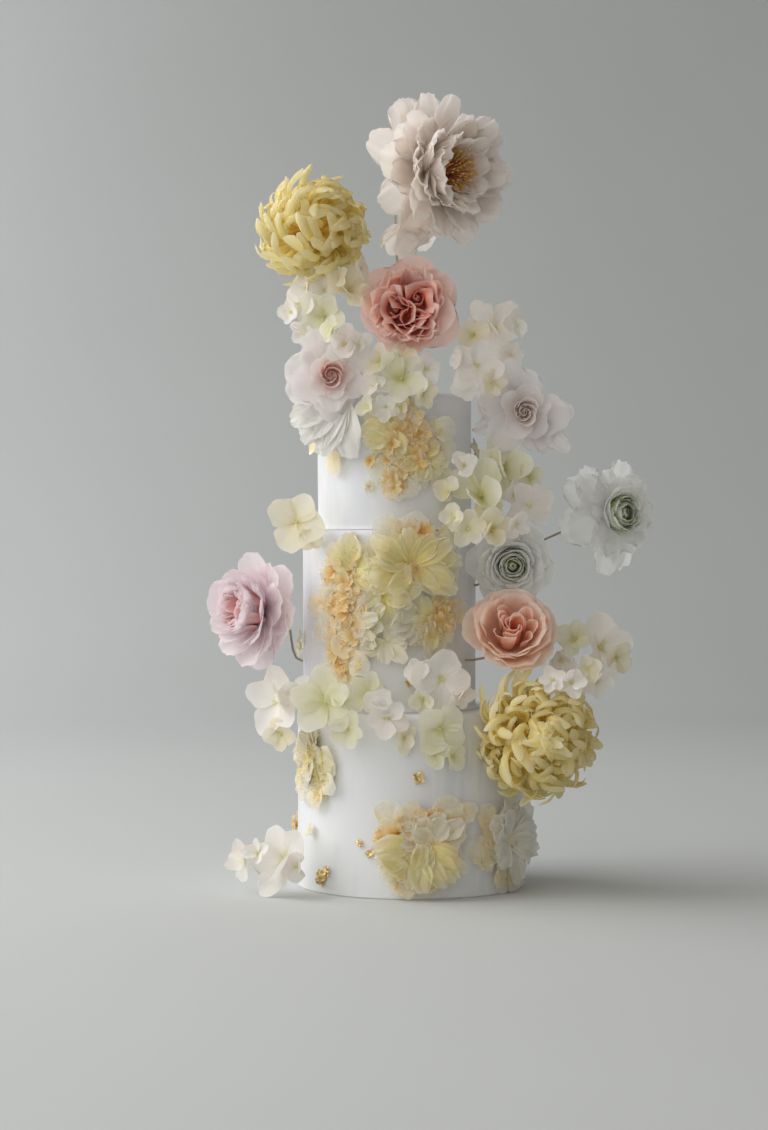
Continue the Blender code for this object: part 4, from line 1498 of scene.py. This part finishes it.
# %% Patches on the three tiers
PATCHES = (
    # patch, florets, their size in mm, their slot,
    # petals under them, the size of those in mm, and their slot
    ("relief_top_ochre", 30, 10.0, "petal_ochre", 30, 24, "petal_straw"),
    ("relief_middle_ochre", 52, 9.5, "petal_ochre", 44, 26, "petal_straw"),
    ("relief_middle_fan", 16, 9.0, "petal_ochre", 26, 30, "petal_straw"),
    ("relief_middle_right", 18, 9.0, "petal_ochre", 16, 22, "petal_straw"),
    ("relief_bottom_left", 24, 9.0, "petal_straw", 24, 24, "petal_white"),
    ("relief_bottom_front", 26, 10.0, "petal_ochre", 30, 25, "petal_cream"),
    ("relief_top_frill", 0, 6.0, "petal_white", 5, 24, "petal_white"),
    ("relief_bottom_right", 5, 8.0, "petal_cream", 24, 28, "petal_leaf_cream"),
)
for patch, count, size, slot, under, width, under_slot in PATCHES:
    dice = np.random.default_rng(zlib.crc32(patch.encode()))
    wash = Piece()
    add_wash(wash, dice, patch, under, width)
    wash.make(f"{patch}.wash", pressed_wafer, under_slot, (patch,))
    florets = Piece()
    for azimuth, height, share in scatter(dice, patch, count, 0.98):
        off = 1.8 + 2.4 * max(0, 1 - share)
        wide = size * dice.uniform(0.6, 1.3)
        add_floret(florets, dice, tier_of(patch), azimuth, height, wide, off)
    if count:
        florets.make(f"{patch}.florets", finishes[slot], slot)
    print(f"{patch}: {count} florets on {under} pressed petals")

# %% [markdown]
# A fan is nine to twenty thin petals that share one foot and spread like a hand of cards. In the
# patches they are the petals of a pressed flower that still holds together.

# %% Fans of wafer petals
FAN_LOOKS = {
    # look: finish, slot
    "straw": (finishes["petal_straw"], "petal_straw"),
    "cream": (finishes["petal_cream"], "petal_cream"),
    "white": (sheer_white, "petal_white"),
    "grey": (grey_wafer, "petal_leaf_cream"),
}
FANS = (
    # patch, place in its outline (right, up), petals, size in mm, width, spins, look
    ("relief_top_ochre", (-0.5, 0.6), 10, 26, 0.8, (120, 300), "straw"),
    ("relief_top_ochre", (0.3, -0.3), 9, 20, 0.7, (200, 420), "straw"),
    ("relief_top_frill", (0.8, 1.0), 20, 50, 0.52, (160, 288), "white"),
    ("relief_middle_ochre", (0.5, 0.7), 10, 28, 0.7, (-60, 170), "straw"),
    ("relief_middle_ochre", (0.5, -0.2), 12, 26, 0.6, (-100, 90), "cream"),
    ("relief_middle_fan", (-0.2, -0.3), 18, 40, 0.6, (-60, 240), "straw"),
    ("relief_middle_right", (0.0, 0.0), 9, 22, 0.7, (30, 330), "straw"),
    ("relief_bottom_left", (0.0, 0.5), 12, 26, 0.7, (60, 300), "cream"),
    ("relief_bottom_front", (0.0, 0.0), 20, 38, 0.5, (185, 355), "straw"),
    ("relief_bottom_front", (0.2, 0.1), 10, 28, 0.7, (10, 170), "cream"),
    ("relief_bottom_front", (-0.1, -0.75), 12, 32, 0.5, (35, 145), "straw"),
    ("relief_bottom_right", (0.0, 0.2), 18, 36, 0.7, (-120, 240), "grey"),
    ("relief_middle_ochre", (1.7, 0.30), 12, 27, 0.7, (-150, 150), "straw"),
    ("relief_middle_right", (-1.0, 0.4), 10, 25, 0.7, (90, 300), "cream"),
    ("relief_middle_ochre", (1.6, -0.40), 9, 22, 0.7, (-180, 60), "cream"),
)
for number, (patch, (right, up), count, size, width, spins, look) in enumerate(FANS):
    dice = np.random.default_rng(number)
    left_side, right_side, low, high = patch_reach(patch)
    azimuth = (left_side + right_side) / 2 + (right_side - left_side) / 2 * right
    height = (low + high) / 2 + (high - low) / 2 * up
    piece = Piece()
    add_fan(piece, dice, tier_of(patch), azimuth, height, count, size, width, *spins)
    piece.make(f"{patch}.fan_{number}", *FAN_LOOKS[look])
print(f"{len(FANS)} fans of wafer petals")

# %% [markdown]
# ## Stray florets
# A few florets sit alone on the icing, away from the patches. Small groups of them also turn up at
# the sides and the back, so the cake is finished all the way round.

# %% Scatter single florets
STRAYS = (
    # tier, azimuth, share of the tier's height, size in mm
    ("tier_top", -17, 0.50, 9), ("tier_top", -18, 0.31, 8), ("tier_middle", 18, 0.20, 6),
    ("tier_bottom", -58, 0.34, 7), ("tier_bottom", -36, 0.88, 6), ("tier_top", 96, 0.55, 9),
    ("tier_middle", 118, 0.78, 10), ("tier_bottom", 104, 0.20, 9), ("tier_middle", 140, 0.24, 8),
    ("tier_bottom", 158, 0.80, 11), ("tier_top", 182, 0.30, 9), ("tier_middle", 176, 0.55, 12),
    ("tier_bottom", 205, 0.12, 10), ("tier_middle", 224, 0.84, 9), ("tier_bottom", 228, 0.52, 12),
    ("tier_top", 244, 0.70, 8), ("tier_bottom", 262, 0.30, 9), ("tier_middle", 262, 0.34, 8),
)
for first, slot in enumerate(("petal_ochre", "petal_cream")):
    dice = np.random.default_rng(first)
    alone = Piece()
    for tier, azimuth, share, size in STRAYS[first::2]:
        low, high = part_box(tier)
        group = 1 if -60 < azimuth < 60 else 5
        for near in range(group):
            turn = azimuth + near * dice.uniform(-6, 6)
            height = low.z + share * (high.z - low.z) + near * dice.uniform(-4, 4) * MM
            add_floret(alone, dice, tier, turn, height, size * dice.uniform(0.7, 1.1))
    alone.make(f"stray_florets_{first}", finishes[slot], slot)
print(f"{len(STRAYS)} stray florets and small groups")

# %% [markdown]
# ## Gold leaf
# Torn flakes of gold leaf are pressed into the icing near the patches. Leaf is thinner than paper
# and crumples, so a flake is a small grid whose points stray, with a torn outline. Its colour is
# painted bright where it is flat, as a highlight, and dark in its folds, as shade.

# %% Gold leaf finish and flakes
def gold_finish():
    """Crumpled metal leaf, duller and painted darker in its folds as shade."""
    finish = Finish("gold_leaf")
    place = finish.node("TexCoord", {}, {}, out="Object")
    crumple_and_painted_light = finish.noise(place, 700.0, 3.0)
    # Painted light: the colour runs from dark in the folds, as shade, to pale where the leaf is
    # raised, as a highlight.
    colour = finish.ramp(
        crumple_and_painted_light, [(0.3, (0.74, 0.44, 0.13)), (0.48, (0.96, 0.72, 0.32)), (0.7, (1.0, 0.88, 0.56))]
    )
    sockets = {
        "Base Color": colour,
        "Metallic": 1.0,
        "Roughness": 0.22 + 0.25 * crumple_and_painted_light,
        "Normal": finish.bump(crumple_and_painted_light, 0.8, 0.4 * MM),
    }
    return finish.done(finish.node("BsdfPrincipled", {}, sockets))


finishes["gold_leaf"] = gold_finish()
FLAKES = (
    # tier, azimuth, share of the tier's height, size in mm
    ("tier_bottom", -64, 0.56, 7), ("tier_bottom", -50, 0.09, 13), ("tier_bottom", -46, 0.13, 8),
    ("tier_bottom", -20, 0.25, 9), ("tier_bottom", 3, 0.66, 9), ("tier_bottom", -1, 0.37, 20),
    ("tier_bottom", 3, 0.42, 15), ("tier_bottom", -7, 0.33, 11), ("tier_bottom", 19, 0.42, 11),
    ("tier_bottom", -26, 0.30, 6), ("tier_middle", -20, 0.05, 8), ("tier_top", 8, 0.92, 9),
    ("tier_middle", -24, 0.95, 10), ("tier_middle", 12, 0.16, 6), ("tier_bottom", 128, 0.55, 10),
    ("tier_middle", 150, 0.7, 8), ("tier_middle", 205, 0.3, 12), ("tier_bottom", 190, 0.35, 14),
    ("tier_top", 170, 0.6, 10), ("tier_top", 236, 0.25, 8), ("tier_bottom", 250, 0.7, 9),
)
LEAF_THICKNESS = 0.15 * MM
dice = np.random.default_rng(7)
leaf = Piece()
for tier, azimuth, share, size in FLAKES:
    low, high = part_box(tier)
    point, away = on_side(tier, azimuth, low.z + share * (high.z - low.z), 1.2 * MM)
    across, up = np.meshgrid(np.linspace(-0.5, 0.5, 9), np.linspace(-0.5, 0.5, 8))
    flake = np.stack([across * dice.uniform(0.6, 1.0), up, 0 * up], -1)
    flake[..., :2] += dice.normal(0, 0.05, flake[..., :2].shape)
    flake[..., 2] += dice.normal(0, 0.09, up.shape) + 0.5 * np.abs(across) * dice.uniform(0, 0.8)
    laid = settle(flake * size * MM, point, away, dice.uniform(0, 360))
    points, faces = skin(laid, LEAF_THICKNESS)
    leaf.add(points, faces, (0.5, 0.5, dice.uniform(), 0.5))
leaf.make("gold_leaf", finishes["gold_leaf"], "gold_leaf")
print(f"{len(FLAKES)} flakes of gold leaf")

# %% [markdown]
# ## Wires
# Each large flower stands on a wire wound with florist's tape. The plain wires already have the
# right path and thickness, so they stay and only get the tape's finish.

# %% Finish the wires
for node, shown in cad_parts.items():
    if node.startswith("wire_"):
        shown.data.materials[0] = finishes["wire"]
print("the wires have their tape")

# %% [markdown]
# ## Floor and backdrop
# The cake stands in a plain pale room. A floor that bends up into the wall in one sweep leaves no
# line behind the cake. It is one strip of mesh: a profile of floor, bend and wall, drawn out
# sideways.

# %% Sweep of floor and wall
def paper_finish():
    """Matt pale paper with faint clouds."""
    finish = Finish("pale_paper")
    place = finish.node("TexCoord", {}, {}, out="Object")
    cloud = finish.noise(place, 1.7, 3.0)
    colour = finish.mix(cloud, (0.63, 0.65, 0.645), (0.59, 0.605, 0.60))
    return finish.done(finish.node("BsdfPrincipled", {}, {"Base Color": colour, "Roughness": 0.9}))


BEND = 1.8  # metres: the radius of the bend between floor and wall
WALL = 3.7  # how far behind the cake's axis the wall stands
WALL_TOP = 4.0
FLOOR_END = 9.0  # how far the floor runs to the front and to either side
bend = [
    (WALL - BEND + BEND * math.sin(a), BEND - BEND * math.cos(a))
    for a in np.linspace(0, math.pi / 2, 25)
]
profile = [(-FLOOR_END, 0.0)] + bend + [(WALL, WALL_TOP)]
points = [(x, y, z) for y, z in profile for x in (-FLOOR_END, FLOOR_END)]
faces = [(row, row + 1, row + 3, row + 2) for row in range(0, len(points) - 2, 2)]
mesh = bpy.data.meshes.new("sweep")
mesh.from_pydata(points, [], faces)
mesh.shade_smooth()
mesh.materials.append(paper_finish())
sweep = bpy.data.objects.new("sweep", mesh)
bpy.context.scene.collection.objects.link(sweep)
sweep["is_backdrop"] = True
print("one sweep of floor and wall")

# %% [markdown]
# ## Light
# A tall window stands to the left of the cake and a little behind it. Its light grazes the icing
# and comes through the petals from behind, which is what makes sugar flowers look alive. A wide,
# weak lamp in front and an even glow from the room keep the shaded side readable, and a third lamp
# washes the wall, brighter to the left. Light goes back and forth between petals many times, so
# more bounces are followed than usual.

# %% Window, fill, wall and room
LAMP_DISTANCE = 2.2
CAKE_MIDDLE = (0, 0, 0.35)


def soft_lamp(name, target, azimuth, elevation, size, power, colour, spread=180):
    """A square lamp that stands off its target at an azimuth and an elevation, in degrees.

    size is in metres and power in watts. spread under 180 keeps the light nearer to its axis.
    """
    lamp = bpy.data.lights.new(name, "AREA")
    lamp.energy = power
    lamp.size = size
    lamp.color = colour
    lamp.spread = math.radians(spread)
    stand = bpy.data.objects.new(name, lamp)
    bpy.context.scene.collection.objects.link(stand)
    turn, rise = math.radians(azimuth), math.radians(elevation)
    away = Vector(
        (math.sin(turn) * math.cos(rise), -math.cos(turn) * math.cos(rise), math.sin(rise))
    )
    stand.location = Vector(target) + away * LAMP_DISTANCE
    stand.rotation_euler = away.to_track_quat("Z", "Y").to_euler()
    stand.visible_camera = False


soft_lamp("window", CAKE_MIDDLE, -96, 30, 2.4, 34.5, (0.98, 0.99, 1.0), 145)
soft_lamp("fill", CAKE_MIDDLE, -38, 22, 3.0, 22, (1.0, 0.99, 0.97))
soft_lamp("wall_wash", (-1.1, WALL, 0.5), -30, 26, 1.6, 23, (0.96, 0.99, 1.0))
room = bpy.data.worlds.new("room")
room.use_nodes = True
room.node_tree.nodes["Background"].inputs["Color"].default_value = (0.28, 0.27, 0.255, 1)
bpy.context.scene.world = room
bpy.context.scene.view_settings.view_transform = "Standard"
bpy.context.scene.cycles.diffuse_bounces = 10
bpy.context.scene.cycles.max_bounces = 16
print("a window, a fill, a wash for the wall and the room")

# %% [markdown]
# ## Camera
# The camera looks at the cake from two metres away, level with the lower half, through a short
# telephoto lens. From there the tiers stand upright and the petals keep their shape.

# %% Camera
lens = bpy.data.cameras.new("camera")
lens.lens = 76.46
lens.sensor_width = 36
camera = bpy.data.objects.new("camera", lens)
camera.location = (-0.0237, -2.105, 0.2947)
camera.rotation_euler = (math.radians(89.59), 0, 0)
bpy.context.scene.collection.objects.link(camera)
bpy.context.scene.camera = camera
print("the camera stands at", tuple(round(value, 3) for value in camera.location))

# %% [markdown]
# ## Measure and finish
# Petals may stand a little proud of the plain solids, but not much. The box of the plain cake and
# the box of the dressed one are both measured, and the size of the dressed one is printed.

# %% Measure the sizes and finish
low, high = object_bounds()
{"cad": [list(cad_low), list(cad_high)], "seen": [list(low), list(high)]}
print("the dressed cake is", [round(value / MM) for value in high - low], "mm")
